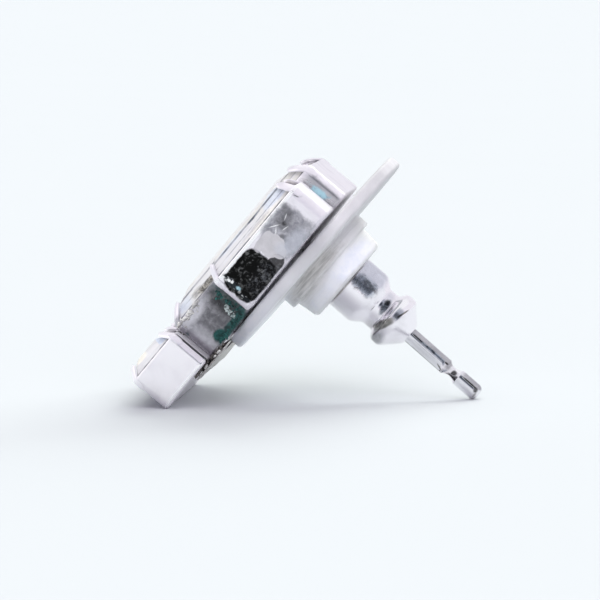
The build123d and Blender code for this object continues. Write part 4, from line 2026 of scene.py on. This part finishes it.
def crusts(head: Head) -> list[Crumbs]:
    """Lumps in the joints of the head.

    Args:
        head: The head with its sizes.

    Returns:
        Green corrosion, pale crystals, bright solder, dark lumps in a joint, and dark solder on the back; the
        dark lumps are also painted shade.
    """
    wall = head.near_wall(0.0, head.centre)
    joint = head.centre_top - head.centre.length
    end = head.near_wall(head.row_x(head.row_count - 1), head.row)
    green = Crust("verdigris", (0.035, 0.16, 0.145), (0.006, 0.04, 0.036), 0.75)
    pale = Crust("pale_crystals", (0.72, 0.80, 0.78), (0.22, 0.34, 0.33), 0.30, 0.2)
    cream = Crust("solder_crumbs", (0.92, 0.90, 0.87), (0.55, 0.54, 0.53), 0.30, 0.9)
    burnt = Crust("burnt_flux", (0.20, 0.185, 0.175), (0.012, 0.011, 0.010), 0.40, 0.8)
    behind = (0.0, 0.0, -1.0)
    return [
        Crumbs("verdigris_crust", (
            Seam((wall, -4.15, 0.25), (wall, -4.15, 1.90), 60, 0.10, 0.02, 0.07),
            Seam((wall, -4.2, 0.16), (wall, -5.9, 0.16), 80, 0.07, 0.02, 0.07),
        ), green, 71),
        Crumbs("crystal_crumbs", (
            Seam((wall, -4.36, 1.12), (wall, -4.56, 0.42), 40, 0.07, 0.02, 0.075),
        ), pale, 83, flatness=0.8, jagged=0.7),
        Crumbs("solder_crumbs", (
            Seam((wall, -5.00, 2.24), (wall, joint + 0.1, 2.18), 44, 0.05, 0.03, 0.11),
            Seam((wall, -5.10, 2.05), (wall, -6.40, 2.05), 22, 0.08, 0.02, 0.06),
        ), cream, 97, flatness=0.7, jagged=0.25, slot=Slot.PLATED),
        # Dark lumps along the joint: burnt flux, and a painted shadow line.
        Crumbs("joint_soot", (
            Seam((wall + 0.05, joint + 0.05, 1.55), (wall + 0.35, joint - 0.02, 2.10), 18, 0.03, 0.03, 0.07),
        ), burnt, 101),
        # Dark lumps behind the joint: flux, and painted shade behind the head.
        Crumbs("flux_behind", (
            Seam((-end + 0.5, -7.00, -0.05), (end - 0.3, -7.00, -0.05), 120, 0.35, 0.05, 0.15, behind),
            Seam((end - 0.35, -5.6, -0.05), (end - 0.35, -7.7, -0.05), 34, 0.05, 0.05, 0.14, behind),
        ), burnt, 113, flatness=0.8, jagged=0.4),
        Crumbs("solder_behind", (
            Seam((end - 0.22, -6.05, -0.12), (end - 0.22, -7.15, -0.12), 4, 0.03, 0.10, 0.19, behind),
        ), cream, 117, flatness=0.5, jagged=0.5, slot=Slot.PLATED),
    ]


def corners(box: tuple[Vector, Vector]) -> list[list[float]]:
    """A box's two corners as plain numbers."""
    return [list(corner) for corner in box]


def main() -> None:
    """Builds the earring's looks piece by piece, then the studio, and measures both boxes."""
    logging.basicConfig(level=logging.INFO, format="%(name)s: %(message)s")
    solid_box = corners(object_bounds())
    lie = Lie()
    head = Head()
    head.build(lie)
    for crumbs in crusts(head):
        crumbs.build(lie)
    BackStrip().build(lie)
    Post().build(lie)
    Clutch().build(lie)
    Studio().build()
    View().build(lie)
    {"cad": solid_box, "visual": corners(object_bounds())}


if __name__ == "__main__":
    main()
